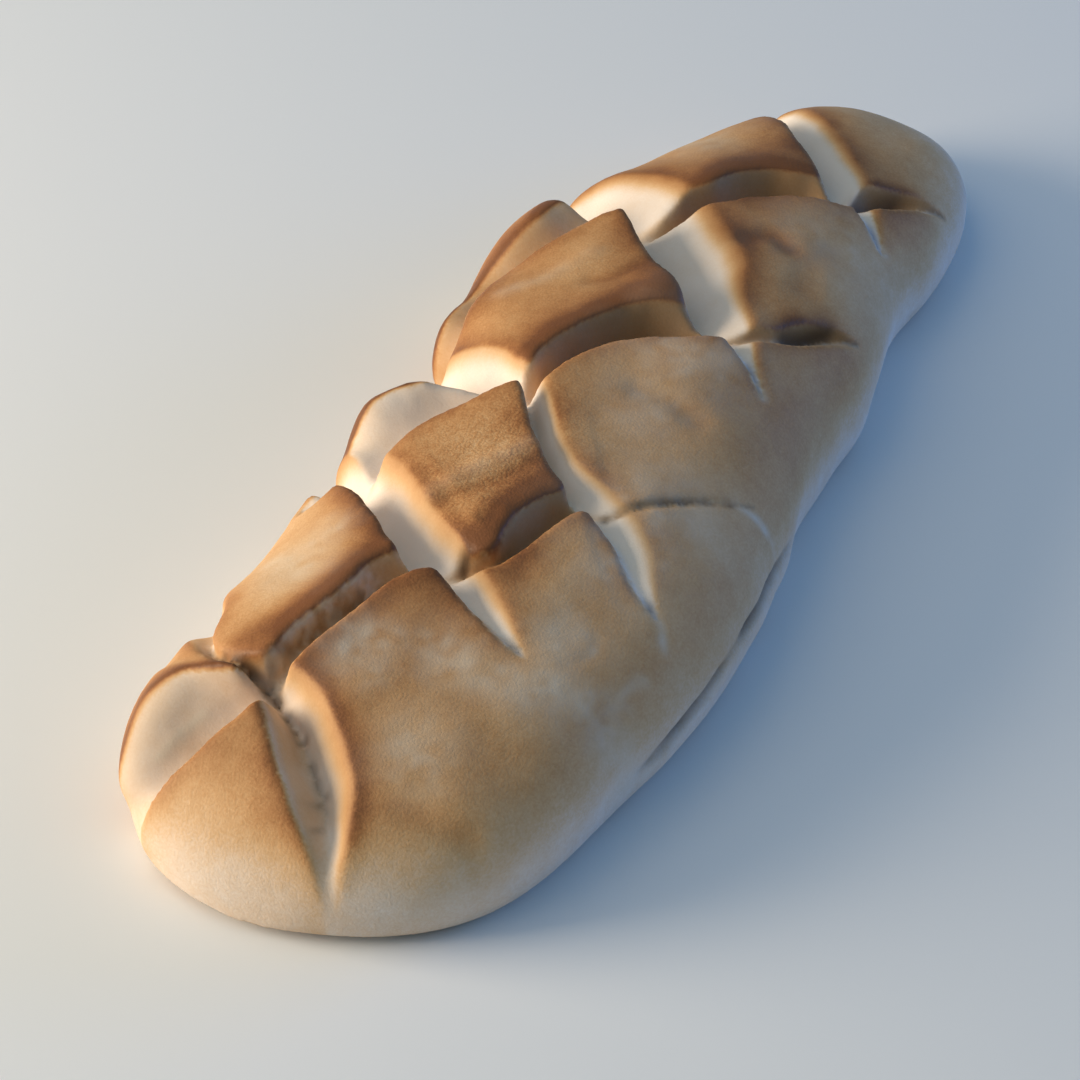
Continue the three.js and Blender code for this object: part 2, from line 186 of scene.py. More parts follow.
@dataclass(frozen=True)
class Opening:
    """What one slash, or all of them together, does to the crust at every point.

    Attributes:
        inside: 1 in the opening and 0 on the crust beside it.
        around: the same with a soft edge, where other slashes' ears give way.
        drop: depth of the groove.
        rise: height of the ear or lip.
        rim: nearness to an edge that caught the heat.
        lean: how far the ear leans out over the groove, in plan.
        crack: 1 along a slash that is only a fine crack.
        browning: how brown the opened dough is.
        torn: 1 where the dough tore instead of spreading.
        shaded: painted shade that darkens the left wall under the ear.
    """

    inside: np.ndarray
    around: np.ndarray
    drop: np.ndarray
    rise: np.ndarray
    rim: np.ndarray
    lean: np.ndarray
    crack: np.ndarray
    browning: np.ndarray
    torn: np.ndarray
    shaded: np.ndarray


@dataclass(frozen=True, kw_only=True)
class Bank:
    """How the right side of a slash spread and browned.

    Attributes:
        gentle: 1 for a long slope and 0 for a plain rounded side.
        flat: above 1, the slope starts flat and steepens toward its lip.
        foot: browning at the crease.
        top: browning at the lip.
        toast_start: share of the slope where the toasting starts.
        roll: how softly the slope rolls over into its lip, from 1 for a sharp edge.
    """

    gentle: float = 1.0
    flat: float
    foot: float
    top: float
    toast_start: float
    roll: float = 1.3


@dataclass(frozen=True, kw_only=True)
class Slash:
    """A slash that opened in the oven, steep below an ear on its left and gentler on its right.

    Each row is x, y, the opening left and right of the crease, the height of the ear on the left and the
    depth of the crease. The wall's tones are its browning, and its painted shade is how much painted shade
    darkens it under the ear, both at shares of the way along. The left side is a level terrace up to the
    terrace's share, and the dough is torn between the two torn shares.
    """

    rows: Rows
    reach: float
    lip: float
    overhang: float
    bank: Bank
    wall_width: float = 9.0
    wall_tones: Pairs = ((0.0, 0.24), (1.0, 0.36))
    wall_painted_shade: Pairs = ((0.0, 0.0),)
    left_rim: float = 1.0
    right_rim: float = 0.75
    terrace: float = 0.0
    torn: tuple[float, float] | None = None
    steps_per_row: int = 8
    least_opening: float = 0.4
    full_opening: float = 9.0
    crack_openings: tuple[float, float] = (2.5, 5.0)
    crack_edge: tuple[float, float] = (0.2, 1.0)
    floor_limits: tuple[float, float] = (0.1, 0.8)
    inside_edge: tuple[float, float] = (0.92, 1.04)
    around_edge: tuple[float, float] = (0.6, 1.35)
    lip_reach: float = 9.0
    crest_inset: float = 0.8
    rim_reach: float = 3.6
    rim_inset: float = 0.45
    lean_reach: float = 6.0
    lean_inset: float = 0.7
    full_ear: float = 2.5
    end_taper: float = 0.07
    edge_rounding: float = 1.0
    toast_full: float = 0.96
    wall_shade: float = 0.12
    torn_middle: float = 2.2
    torn_width: float = 2.2
    torn_blend: float = 0.03
    terrace_blend: float = 0.05

    def crease(self) -> np.ndarray:
        """Rows of short, even steps along a smooth curve through the slash's own rows."""
        rows = np.array(self.rows, float)
        last = len(rows) - 1
        steps = curve_through(rows, np.linspace(0, last, last * self.steps_per_row + 1))
        steps[:, 2:4] = np.maximum(steps[:, 2:4], self.least_opening)
        steps[:, 4:6] = np.maximum(steps[:, 4:6], 0)
        return steps

    def beside(self, x: np.ndarray, y: np.ndarray) -> Beside:
        """Find the nearest place on the crease for every plan point.

        Args:
            x: places along the loaf.
            y: places across it.

        Returns:
            Where the points stand beside the crease.
        """
        steps = self.crease()
        nearest = np.full(x.shape, np.inf)
        found = np.zeros((6,) + x.shape)
        for i, (a, b) in enumerate(zip(steps[:-1], steps[1:])):
            along = b[:2] - a[:2]
            length = math.hypot(*along)
            t = np.clip(((x - a[0]) * along[0] + (y - a[1]) * along[1]) / length**2, 0, 1)
            off_x = x - a[0] - t * along[0]
            off_y = y - a[1] - t * along[1]
            away = np.hypot(off_x, off_y)
            closer = away < nearest
            nearest = np.where(closer, away, nearest)
            side = np.where(along[0] * off_y - along[1] * off_x >= 0, 1.0, -1.0)
            values = [side, (i + t) / (len(steps) - 1), np.full(x.shape, float(i)), t]
            values += [np.full(x.shape, -along[1] / length), np.full(x.shape, along[0] / length)]
            for k, value in enumerate(values):
                found[k] = np.where(closer, value, found[k])
        side, place, index, t, left_x, left_y = found
        index = index.astype(int)
        left, right, ear, depth = (mix(steps[index, k], steps[index + 1, k], t) for k in (2, 3, 4, 5))
        return Beside(side * nearest, left, right, ear, depth, place, np.stack([left_x, left_y], -1))

    def open(self, points: np.ndarray, ragged: np.ndarray) -> Opening:
        """Work out the groove, ear and lip at every point.

        Args:
            points: points of the plain loaf.
            ragged: how far the edges wander at each point.

        Returns:
            What the slash does there.
        """
        spot = self.beside(points[..., 0], points[..., 1])
        total = spot.left + spot.right
        openness = np.minimum(1, total / self.full_opening)
        distance = spot.distance + ragged * openness
        on_left = distance >= 0
        width = np.where(on_left, spot.left, spot.right)
        across = np.abs(distance) / width
        ends = smooth(0, self.end_taper, spot.place) * (1 - smooth(1 - self.end_taper, 1, spot.place))
        floor = np.where(on_left, np.clip(1 - self.wall_width / width, *self.floor_limits), 0)
        steep = 1 - smooth(0, 1, (across - floor) / (1 - floor))
        level = 1 - smooth(self.terrace - self.terrace_blend, self.terrace + self.terrace_blend, spot.place)
        steep = mix(steep, np.clip(1 - across, 0, 1), level)
        plain = 1 - smooth(0, 1, across)
        gentle = np.clip(1 - across**self.bank.flat, 0, 1) ** self.bank.roll
        drop = spot.depth * np.where(on_left, steep, mix(plain, gentle, self.bank.gentle))
        outside = np.abs(distance) - width
        back = np.hypot(np.maximum(outside, 0), self.edge_rounding) - self.edge_rounding

        def near(reach: np.ndarray | float, inset: float) -> np.ndarray:
            """Nearness to the edge, over a reach outside it and a share of the opening inside it."""
            return np.where(outside > 0, np.exp(-back / reach), smooth(-inset, 0, outside / width))

        crest = near(np.where(on_left, self.reach, self.lip_reach), self.crest_inset)
        rise = np.where(on_left, spot.ear, self.lip * openness * ends) * crest
        warmed = np.where(on_left, self.left_rim, self.right_rim)
        rim = near(self.rim_reach, self.rim_inset) * openness * ends * warmed
        push = near(self.lean_reach, self.lean_inset) * self.overhang * openness * ends * on_left
        push = push * np.minimum(1, spot.ear / self.full_ear)
        shares, tones = zip(*self.wall_tones)
        wall = np.interp(spot.place, shares, tones) + self.wall_shade * (np.minimum(across, 1) - 0.5)
        # Painted shade on the left wall under the ear, by share of the way along.
        shares, shade_levels = zip(*self.wall_painted_shade)
        shaded = np.interp(spot.place, shares, shade_levels) * on_left
        bank = mix(self.bank.foot, self.bank.top, smooth(self.bank.toast_start, self.toast_full, across))
        torn = np.zeros_like(across)
        if self.torn:
            start, stop = self.torn
            torn = smooth(start, start + self.torn_blend, spot.place)
            torn = torn * (1 - smooth(stop - self.torn_blend, stop, spot.place))
            torn = torn * np.exp(-(((distance - self.torn_middle) / self.torn_width) ** 2))
        inside = 1 - smooth(*self.inside_edge, across)
        narrow = 1 - smooth(*self.crack_openings, total)
        return Opening(
            inside=inside,
            around=1 - smooth(*self.around_edge, across),
            drop=drop,
            rise=rise,
            rim=rim,
            lean=-spot.leftward * push[..., None],
            crack=inside * narrow * (1 - smooth(*self.crack_edge, across)),
            browning=np.where(on_left, wall, bank),
            torn=torn * inside,
            shaded=shaded * inside,
        )


def together(openings: list[Opening], least_drop: float = 0.01, sharpness: int = 3) -> Opening:
    """Join the slashes where they meet: ears give way to other slashes and the deepest groove shows.

    Args:
        openings: what each slash does alone.
        least_drop: depth that a groove counts for at its edge.
        sharpness: how firmly the deepest groove takes over.

    Returns:
        What they do together.
    """
    rise, rim, lean = 0.0, 0.0, 0.0
    for opening in openings:
        clear = np.prod([1 - other.around for other in openings if other is not opening], axis=0)
        rise = rise + opening.rise * clear
        rim = np.maximum(rim, opening.rim * clear)
        lean = lean + opening.lean * clear[..., None]
    weights = np.stack([opening.inside * (opening.drop + least_drop) ** sharpness for opening in openings])
    weights = weights / np.maximum(np.sum(weights, 0), TINY)

    def most(name: str) -> np.ndarray:
        """The largest of the slashes' values."""
        return np.max([getattr(opening, name) for opening in openings], axis=0)

    def deepest(name: str) -> np.ndarray:
        """The deepest slash's value, blended at the edges."""
        return np.sum(weights * np.stack([getattr(opening, name) for opening in openings]), 0)

    joined = {name: most(name) for name in ("inside", "around", "drop", "crack", "torn")}
    joined |= {name: deepest(name) for name in ("browning", "shaded")}
    return Opening(rise=rise, rim=rim, lean=lean, **joined)


@dataclass(frozen=True, kw_only=True)
class CrossSlash(Slash):
    """A slash along the shorter diagonal, whose left wall browned under its ear."""

    lip: float = 1.2
    bank: Bank = Bank(gentle=0.3, flat=1.0, foot=0.30, top=0.55, toast_start=0.3)
    wall_width: float = 5.5
    left_rim: float = 1.7


LONG_STROKES = (
    Slash(
        rows=(
            (-157, -17.5, 0.6, 0.8, 0, 0.3), (-152.5, -13.5, 2.6, 4.6, 0.8, 3),
            (-144, -6.5, 5, 8.2, 1.6, 7.2),
            (-133.8, 2.6, 6.2, 8, 1.8, 8.5), (-125.8, 13.6, 3.6, 6, 1.6, 9), (-122.6, 22.5, 1.6, 1, 1, 6),
            (-121.6, 29, 1.0, 0.8, 0.6, 3.5), (-116, 35.5, 2.6, 1.2, 0.5, 3),
            (-106.5, 41.5, 4.5, 4, 0.4, 3.5),
            (-96, 50, 3, 3, 0, 1),
        ),
        reach=16, lip=0.7, overhang=0.0,
        bank=Bank(flat=1.5, foot=0.12, top=0.64, toast_start=0.25, roll=1.7),
    ),
    Slash(
        rows=(
            (-96, -28.5, 0.6, 0.8, 0, 0.3), (-92.5, -19.5, 1.4, 4.4, 0.5, 1.8),
            (-87, -8.5, 1.8, 7.4, 1, 4.4),
            (-81.5, 9, 1.8, 12, 1.6, 8), (-73, 20.5, 1.8, 12.2, 1.6, 8.5), (-64.5, 31, 2, 12.2, 1.4, 8.5),
            (-57, 46, 3, 12, 0.8, 7),
        ),
        reach=20, lip=0.5, overhang=2.0,
        bank=Bank(flat=2.6, foot=0.02, top=0.58, toast_start=0.45, roll=2.0),
    ),
    Slash(
        rows=(
            (-69.5, -46, 0.6, 0.8, 0, 0.3), (-65, -38, 1, 5.6, 0.3, 1.4), (-59, -31, 1.2, 7.6, 0.5, 2.4),
            (-53, -22.5, 1.4, 7.2, 0.9, 3.8), (-48.5, -13, 1.5, 6.8, 1.4, 5.5),
            (-39, -2, 1.5, 6, 1.8, 6.5),
            (-23, 11, 1.5, 5.5, 1.6, 8),
            (-21, 20, 3, 9, 1.2, 9), (-21.5, 32, 4, 15, 0.6, 10), (-24.5, 47, 4.5, 24, 0.4, 10),
        ),
        reach=20, lip=0.3, overhang=2.0,
        bank=Bank(flat=1.7, foot=0.02, top=0.50, toast_start=0.55, roll=1.9),
    ),
    Slash(
        rows=(
            (6, -35.5, 0.5, 0.8, 0, 0.2), (11.5, -28.5, 0.9, 3, 0.2, 1.1), (18, -18, 2, 10, 0.8, 4.5),
            (25.6, -3.5, 2.4, 19.5, 2.6, 10), (35.6, 8.5, 2.4, 22.8, 2.4, 11),
            (51.5, 24.5, 2.4, 21, 2, 10),
            (56, 36, 3, 19, 2, 12), (55, 50, 4, 14, 2, 11),
        ),
        reach=22, lip=1.0, overhang=2.8,
        bank=Bank(flat=1.25, foot=0.05, top=0.70, toast_start=0.66, roll=1.5),
    ),
    Slash(
        rows=(
            (81, -32.5, 0.5, 0.8, 0, 0.2), (87.5, -25, 1, 3.6, 0.3, 1.3), (93, -13, 2, 11, 1.2, 6),
            (101.3, -1.5, 2.2, 14, 2.2, 9), (114.3, 9.5, 2.2, 13.5, 2.6, 9), (126, 23, 2.2, 15, 1.8, 8),
            (134, 36, 2, 13, 1, 6),
        ),
        reach=22, lip=0.4, overhang=2.4,
        bank=Bank(flat=1.25, foot=0.0, top=0.70, toast_start=0.68, roll=1.5),
    ),
)

# The cross slashes' wall painted shade darkens their left walls under the ears, where shade falls.
CROSS_STROKES = (
    CrossSlash(
        rows=(
            (-158, 34, 6, 2, 0.6, 4), (-150, 28, 14, 2.5, 2, 7), (-141, 22.5, 20, 2.8, 3, 9),
            (-132, 18.5, 17, 3, 3, 9), (-125, 16.5, 6, 4, 2, 8), (-119, 15, 3.6, 3, 2, 7),
            (-112.5, 13.5, 4.4, 2.6, 1.6, 6), (-101.5, 9.8, 4.6, 2.4, 2, 6), (-88, 5, 5.2, 2.8, 1.6, 7),
            (-77.5, -9, 1.8, 3, 1.2, 6), (-73.5, -11.6, 2, 2.5, 1.8, 7), (-69.5, -13.4, 5.8, 2.5, 2, 7.5),
            (-62, -15.8, 7, 2.5, 2.2, 8), (-54.5, -19.5, 5.4, 2.6, 1.4, 5.5),
            (-51, -26, 1.1, 1.4, 0.8, 2.4),
            (-42, -34, 0.8, 1, 0.6, 1.8), (-24, -48, 0.5, 0.5, 0, 0.4),
        ),
        reach=15, overhang=1.8,
        wall_tones=((0.0, 0.20), (0.25, 0.22), (0.33, 0.42), (0.56, 0.44), (0.85, 0.40)),
        wall_painted_shade=((0.52, 0.0), (0.6, 0.4), (0.8, 0.4), (0.9, 0.0)),
        terrace=0.28, torn=(0.25, 0.50),
    ),
    CrossSlash(
        rows=(
            (-66, 41, 2, 3, 0.3, 3), (-54, 34, 7, 4, 0.8, 6), (-38, 29, 13, 4, 1.5, 7),
            (-21, 11, 5, 2.8, 1.6, 9), (-11.5, 6.8, 7.5, 2.6, 2.2, 9.5), (-1.5, 2.8, 8.5, 2.6, 2.6, 10),
            (8, -7, 11, 2.6, 2.2, 10), (17.5, -21, 4, 2.5, 0.6, 4), (25, -29, 2.2, 2.4, 0.3, 2.4),
            (31, -33.5, 3.8, 2.8, 0.4, 5), (37, -37.5, 3, 2.6, 0.3, 4), (44, -42.5, 0.8, 0.8, 0, 0.4),
        ),
        reach=17, overhang=2.6,
        wall_tones=((0.0, 0.06), (0.24, 0.08), (0.34, 0.46), (0.62, 0.44), (0.72, 0.50), (1.0, 0.6)),
        wall_painted_shade=((0.3, 0.0), (0.38, 0.42), (0.64, 0.42), (0.74, 0.0)),
        terrace=0.25,
    ),
    CrossSlash(
        rows=(
            (-7, 44, 2, 5.5, 0.5, 5), (10, 45, 3, 5.5, 1.5, 7), (25, 43, 6, 4.5, 2.4, 7.5),
            (38, 34.5, 9, 4, 2.6, 7), (49, 27, 12, 3.5, 2.6, 7), (57, 15, 5.5, 3, 1.2, 9),
            (68, 6, 7, 2.8, 2.2, 9.5),
            (76, -1, 10.5, 2.8, 2.6, 10), (83.5, -12.5, 9, 2.6, 1.4, 7), (90, -20.5, 4, 2.8, 0.6, 4),
            (97, -24.5, 6.5, 3.6, 0.6, 6.5), (103, -28, 5, 3.2, 0.4, 5.5), (114, -36, 0.8, 0.8, 0, 0.4),
        ),
        reach=17, overhang=2.4,
        wall_tones=((0.0, 0.34), (0.3, 0.40), (0.42, 0.48), (0.62, 0.46), (0.72, 0.52), (1.0, 0.6)),
        wall_painted_shade=((0.38, 0.0), (0.46, 0.45), (0.66, 0.45), (0.76, 0.0)),
        terrace=0.37,
    ),
)


@dataclass(frozen=True)
class Swell:
    """A place where a plate of crust lifted straight up into a corner or sank between its edges."""

    x: float
    y: float
    radius: float
    height: float

    def raised(self, points: np.ndarray) -> np.ndarray:
        """Height of the swell at each point."""
        away = np.hypot(points[..., 0] - self.x, points[..., 1] - self.y)
        return self.height * np.exp(-((away / self.radius) ** 2))


SWELLS = tuple(
    Swell(*row)
    for row in (
        (-26, 14, 7, 1.0), (50, 27, 7, 0.8), (-68, 30, 8, 0.4), (-87, 1, 6, 1.0), (108, 12, 9, 0.6),
        (21, 0, 6, 1.4), (-68, -4, 6, 1.4), (140, 0, 20, 1.6), (131, 27, 15, -3.4), (-35, 46, 7, 7.5),
        (-30, 38, 7, 2.5), (-43, 47, 4, -2), (-51, 43, 5, 2), (45, 47, 9, 2.8), (28, 48, 10, -4.2),
        (8, 47, 9, 1.5), (14, 21, 15, -1.2), (-49, 8, 12, -0.8), (-104, -12, 11, -1.0),
        (-97, 26, 12, -0.8), (6, -22, 14, 0.8), (-40, -28, 10, 0.8),
    )
)


@dataclass(frozen=True)
class Mark:
    """A fold, scar or smear in the crust, or a patch of painted shade or painted sheen, along a short path
    of plan points.
    """

    path: Pairs
    width: float
    depth: float
    tone: Tone
    strength: float
    round_half: float = 0.5
    steps_per_point: int = 6

    def share(self, points: np.ndarray) -> np.ndarray:
        """How much of the mark shows at each point, from 0 to 1.

        Args:
            points: points of the plain loaf.

        Returns:
            One share for each point.
        """
        path = np.array(self.path, float)
        if len(path) == 1:
            path = path + np.array([[-self.round_half, 0], [self.round_half, 0]])
        elif len(path) > 2:
            steps = np.linspace(0, len(path) - 1, self.steps_per_point * len(path))
            path = curve_through(path, steps)
        nearest = np.full(points.shape[:-1], np.inf)
        for a, b in zip(path[:-1], path[1:]):
            along = b - a
            t = np.clip(((points[..., :2] - a) @ along) / max(along @ along, TINY), 0, 1)
            off = points[..., :2] - a - t[..., None] * along
            nearest = np.minimum(nearest, np.hypot(off[..., 0], off[..., 1]))
        return np.exp(-((nearest / self.width) ** 2))


def marks(tone: Tone, *rows: tuple) -> tuple[Mark, ...]:
    """Marks of one tone.

    Args:
        tone: what the marks are.
        rows: for each mark its width, depth and strength, then the plan points of its path. A single
            point makes a round mark: a pit, a hollow or a smudge.

    Returns:
        The marks.
    """
    return tuple(Mark(tuple(path), width, depth, tone, strength) for width, depth, strength, *path in rows)


PITS_CRACKS_AND_PAINTED_SHADE = marks(
    Tone.DARK,
    (1.7, 0.5, 0.8, (-143, -5.6)),
    (1.4, 0.4, 0.5, (-148, -9)),
    (1.5, 1.8, 0.9, (-78, -5)),
    (2.6, 0.6, 0.8, (29, -31.5), (34, -34.5), (39, -37)),
    (3.2, 0.6, 0.75, (94, -21.5), (99, -24), (104, -27)),
    (1.6, 0.8, 0.35, (-67.4, -4.6)),
    (0.8, 0.9, 0.85, (-52, -25.5), (-47, -30), (-39, -36), (-29, -44.5)),
    (1.25, 1.6, 1.0, (-121.6, 29), (-122.4, 23), (-124, 17.5), (-128, 10.5), (-131.5, 5.5)),
    (1.0, 0.7, 0.6, (-124, 18.4), (-117.5, 17.2), (-111.5, 15.4), (-104, 13), (-97, 10.6)),
    (1.1, 0.5, 0.6, (-131.5, 5.5), (-136.5, 0), (-141, -4), (-146.5, -9)),
    # These three wide round marks press nothing in: they are painted shade on the floors of the openings
    # behind the left rims.
    (14, 0, 0.24, (-138, 27)),
    (9, 0, 0.26, (-33, 34)),
    (10, 0, 0.15, (30, 42)),
)

TOASTED_PLACES = marks(
    Tone.BROWNING,
    (4.2, 0, 0.18, (-12, 16), (-2, 13), (8, 6), (17, 1), (22, 0)),
    (7, 0, 0.18, (21, 4)),
    (5, 0, 0.28, (-75, -5), (-66, -7), (-58, -9), (-51, -10)),
    (5, 0, 0.14, (70, 16), (80, 11), (92, 6), (100, 3)),
    (4, 0, 0.18, (-69, 29), (-76, 21), (-83, 11)),
    (3.5, 0, 0.15, (-118, 26), (-106, 19), (-96, 15), (-86, 10)),
    (12, 0, -0.17, (-97, 30)),
    (4, 0, 0.14, (-115, 8), (-107, 8), (-96, 3), (-87, -1)),
    (3.2, 0, 0.16, (-119, 10), (-124, 3.5), (-130.5, -5.5), (-138, -12.5), (-146, -17)),
    (5, 0, 0.24, (-76, -16)),
    (5, 0, 0.10, (-29, 0)),
    (5, 0, 0.10, (-44, -21)),
    (3.8, 0, 0.08, (63, 2), (55, -7), (44, -15), (33, -22)),
    (11, 0, 0.08, (58, -14)),
    (3.8, 0, 0.10, (128, 6), (118, -5), (110, -12)),
    (3.5, 0, 0.07, (-131, 12), (-136, 6), (-142, 0)),
    (2, 0.5, 0.12, (-66, 7), (-57, 0), (-47, -5)),
    (2.2, 0.4, 0.12, (19, 15), (22, 11), (30, 8)),
    (3, 0.8, 0.22, (55, -8), (60, -12), (58, -18)),
    (4, 0.6, 0.10, (46, -27), (56, -24), (66, -26)),
    (3, 0.6, 0.06, (-12, -13), (-11, -21), (-13, -28)),
    (3, 0.5, 0.10, (-141, -16), (-138, -28), (-136, -38)),
)

FLOUR_AND_SHEEN_PLACES = marks(
    Tone.FLOUR,
    (2.6, -0.6, 0.12, (-64, 11), (-53, 5), (-43, -1)),
    (2.4, -0.4, 0.2, (11, 33), (18, 26), (29, 20)),
    # This raised streak of flour colour on the floor of the blunt end's first cross groove is a painted
    # sheen.
    (1.3, -0.3, 2.0, (-143, 34), (-138, 32), (-133, 29)),
    (1.1, 0.25, 0.6, (-74, -50), (-70.5, -48), (-68.5, -45)),
    (1.2, 0.2, 0.35, (-92, -37), (-87, -40), (-82, -39)),
    (1.2, 0.2, 0.35, (-99, -49), (-91, -48), (-83, -50)),
    (1.3, 0.3, 0.7, (18, -24), (12, -30), (6, -36)),
    (1.3, 0.3, 0.7, (89, -25), (84, -29), (82, -33)),
    (1.2, 0.3, 0.5, (-28, -45), (-26, -49), (-25, -53)),
    (7, 0.2, 0.5, (-104, -14), (-102, -24), (-100, -36), (-97, -48)),
    (8, 0.2, 0.45, (-92, 28)),
    (6, 0, 0.35, (-83, 27)),
    (7.5, 0.4, 0.7, (-110, 0)),
    (8, 0.3, 0.5, (-127, -21)),
    (9, 0.1, 0.4, (-88, -33)),
    (17, 0, 0.35, (5, -18)),
    (16, 0, 0.35, (-45, -32)),
    (16, 0, 0.2, (70, -22)),
    (12, 0, 0.4, (-62, -34)),
    (12, 0, 0.35, (-14, -18)),
    (12, 0, 0.3, (98, 25)),
)


@dataclass(frozen=True)
class LoafBody:
    """The plain loaf before it is slashed: long and low, blunt at one end, with a flat base."""

    length: float = 320.0
    right_waists: tuple[Triple, ...] = ((80, -3.6, 19), (42, 1.8, 11), (2, -1.5, 14))
    left_waists: tuple[Triple, ...] = ((-6, -6, 10),)
    left_widths: tuple[float, ...] = (62, 49, 46, 49, 54, 43, 50)
    right_widths: tuple[float, ...] = (62, 55.5, 57.5, 50.5, 45, 46.5, 58)
    heights: tuple[float, ...] = (39, 41, 43.5, 45, 43, 39.5, 38)
    blunt_end_power: float = 5.3
    slim_end_power: float = 3.2
    width_rounding: float = 1 / 2
    height_rounding: float = 1 / 2.6
    blunt_end_slant: float = 0.13
    slant_power: float = 4.0
    tip_lift: float = 2.5
    tip_lift_share: float = 0.6
    tip_lift_power: float = 1.5
    widest_level: float = 0.35
    right_shoulder_power: float = 2.5
    left_shoulder_power: float = 2.2
    base_inset: float = 7.0
    largest_inset_share: float = 0.6
    columns: int = 560
    crown_rows: int = 250
    edge_rows: int = 14
    base_rows: int = 12
    tip_crowding: float = 0.3
    stagger: float = 0.25
    least_fullness: float = 1e-6

    def column_shares(self, row: int) -> np.ndarray:
        """Shares of the half-length along one row, crowded toward both tips and staggered by row."""
        stagger = self.stagger if row % 2 else -self.stagger
        place = 2 * (np.arange(self.columns) + 0.5 + stagger) / self.columns - 1
        from_tip = 1 - np.abs(place)
        crowd = self.tip_crowding
        eased = np.where(from_tip < crowd, from_tip**2 / (2 * crowd), from_tip - crowd / 2)
        return np.sign(place) * (1 - eased / (1 - crowd / 2))

    def row(self, s: np.ndarray, around: float) -> np.ndarray:
        """Points along one row of the plain loaf.

        Args:
            s: shares of the half-length, from -1 at the blunt tip to 1 at the slim one.
            around: place round the section: -1 to 1 over the crown from right to left, past that round
                the lower edges up to 2, and beyond 2 across the base from right to left.

        Returns:
            One point for each share.
        """
        power = np.where(s < 0, self.blunt_end_power, self.slim_end_power)
        fullness = np.maximum(1 - np.abs(s) ** power, self.least_fullness)
        along = s * self.length / 2
        station = (s + 1) / 2 * (len(self.heights) - 1)
        rounding = fullness**self.width_rounding
        widths = {
            1: curve_through(np.array(self.left_widths, float), station) * rounding,
            -1: curve_through(np.array(self.right_widths, float), station) * rounding,
        }
        for side, waists in ((-1, self.right_waists), (1, self.left_waists)):
            for middle, swell, spread in waists:
                widths[side] = widths[side] + swell * np.exp(-(((along - middle) / spread) ** 2))
        height = curve_through(np.array(self.heights, float), station) * fullness**self.height_rounding
        lift = self.tip_lift * np.maximum(1 - fullness / self.tip_lift_share, 0) ** self.tip_lift_power
        widest = self.widest_level * height
        if abs(around) <= 1:
            angle = around * math.pi / 2
            side = math.copysign(1, around)
            sine, cosine = math.sin(angle), max(math.cos(angle), 0.0)
            shoulder = mix(
                self.right_shoulder_power, self.left_shoulder_power, float(smooth(-1, 1, np.array(sine)))
            )
            reach = (abs(sine) ** shoulder + cosine**shoulder) ** (-1 / shoulder)
            y = widths[side] * sine * reach
            z = widest + (height - widest) * cosine * reach
        elif abs(around) <= 2:
            angle = (abs(around) - 1) * math.pi / 2
            side = math.copysign(1, around)
            inset = np.minimum(self.base_inset, self.largest_inset_share * widths[side])
            y = side * (widths[side] - inset * (1 - math.cos(angle)))
            z = widest * (1 - math.sin(angle))
        else:
            over = 1 - 2 * (around - 2)
            width = widths[math.copysign(1, over)]
            y = over * (width - np.minimum(self.base_inset, self.largest_inset_share * width))
            z = np.zeros_like(s)
        x = along - self.blunt_end_slant * y * np.maximum(0, -s) ** self.slant_power
        squash = np.where(lift > 0, height / (height + lift), 1)
        return np.stack([x, y, lift + z * squash], -1)

    def grid(self) -> tuple[np.ndarray, np.ndarray]:
        """Points of the plain loaf and their outward normals, in rows round the section."""
        edges = np.arange(1, self.edge_rows + 1) / self.edge_rows
        crown = np.linspace(-1, 1, self.crown_rows)
        base = 2 + np.arange(1, self.base_rows + 1) / (self.base_rows + 1)
        around = np.concatenate([-1 - edges[::-1], crown, 1 + edges, base])
        points = np.stack([self.row(self.column_shares(j), place) for j, place in enumerate(around)])
        along = np.gradient(points, axis=1)
        round_section = np.roll(points, -1, 0) - np.roll(points, 1, 0)
        normals = np.cross(along, round_section)
        normals /= np.linalg.norm(normals, axis=-1, keepdims=True) + TINY
        return points, normals

    def faces(self, rows: int) -> np.ndarray:
        """Triangles of the staggered grid, closed round the section and with a fan at each tip.

        Args:
            rows: number of rows round the section.

        Returns:
            Corner numbers, three for each triangle; the two tips come after the grid's points.
        """
        j, i = np.meshgrid(np.arange(rows), np.arange(self.columns - 1), indexing="ij")
        following = (j + 1) % rows
        a, b = j * self.columns + i, j * self.columns + i + 1
        c, d = following * self.columns + i, following * self.columns + i + 1
        odd = (j % 2 == 1)[..., None]
        first = np.where(odd, np.stack([a, b, d], -1), np.stack([a, b, c], -1))
        second = np.where(odd, np.stack([a, d, c], -1), np.stack([b, d, c], -1))
        ring = np.arange(rows) * self.columns
        ring_next = np.roll(ring, -1)
        blunt = np.full(rows, rows * self.columns)
        fans = [
            np.stack([blunt, ring, ring_next], -1),
            np.stack([blunt + 1, ring_next + self.columns - 1, ring + self.columns - 1], -1),
        ]
        return np.concatenate([first.reshape(-1, 3), second.reshape(-1, 3), *fans])


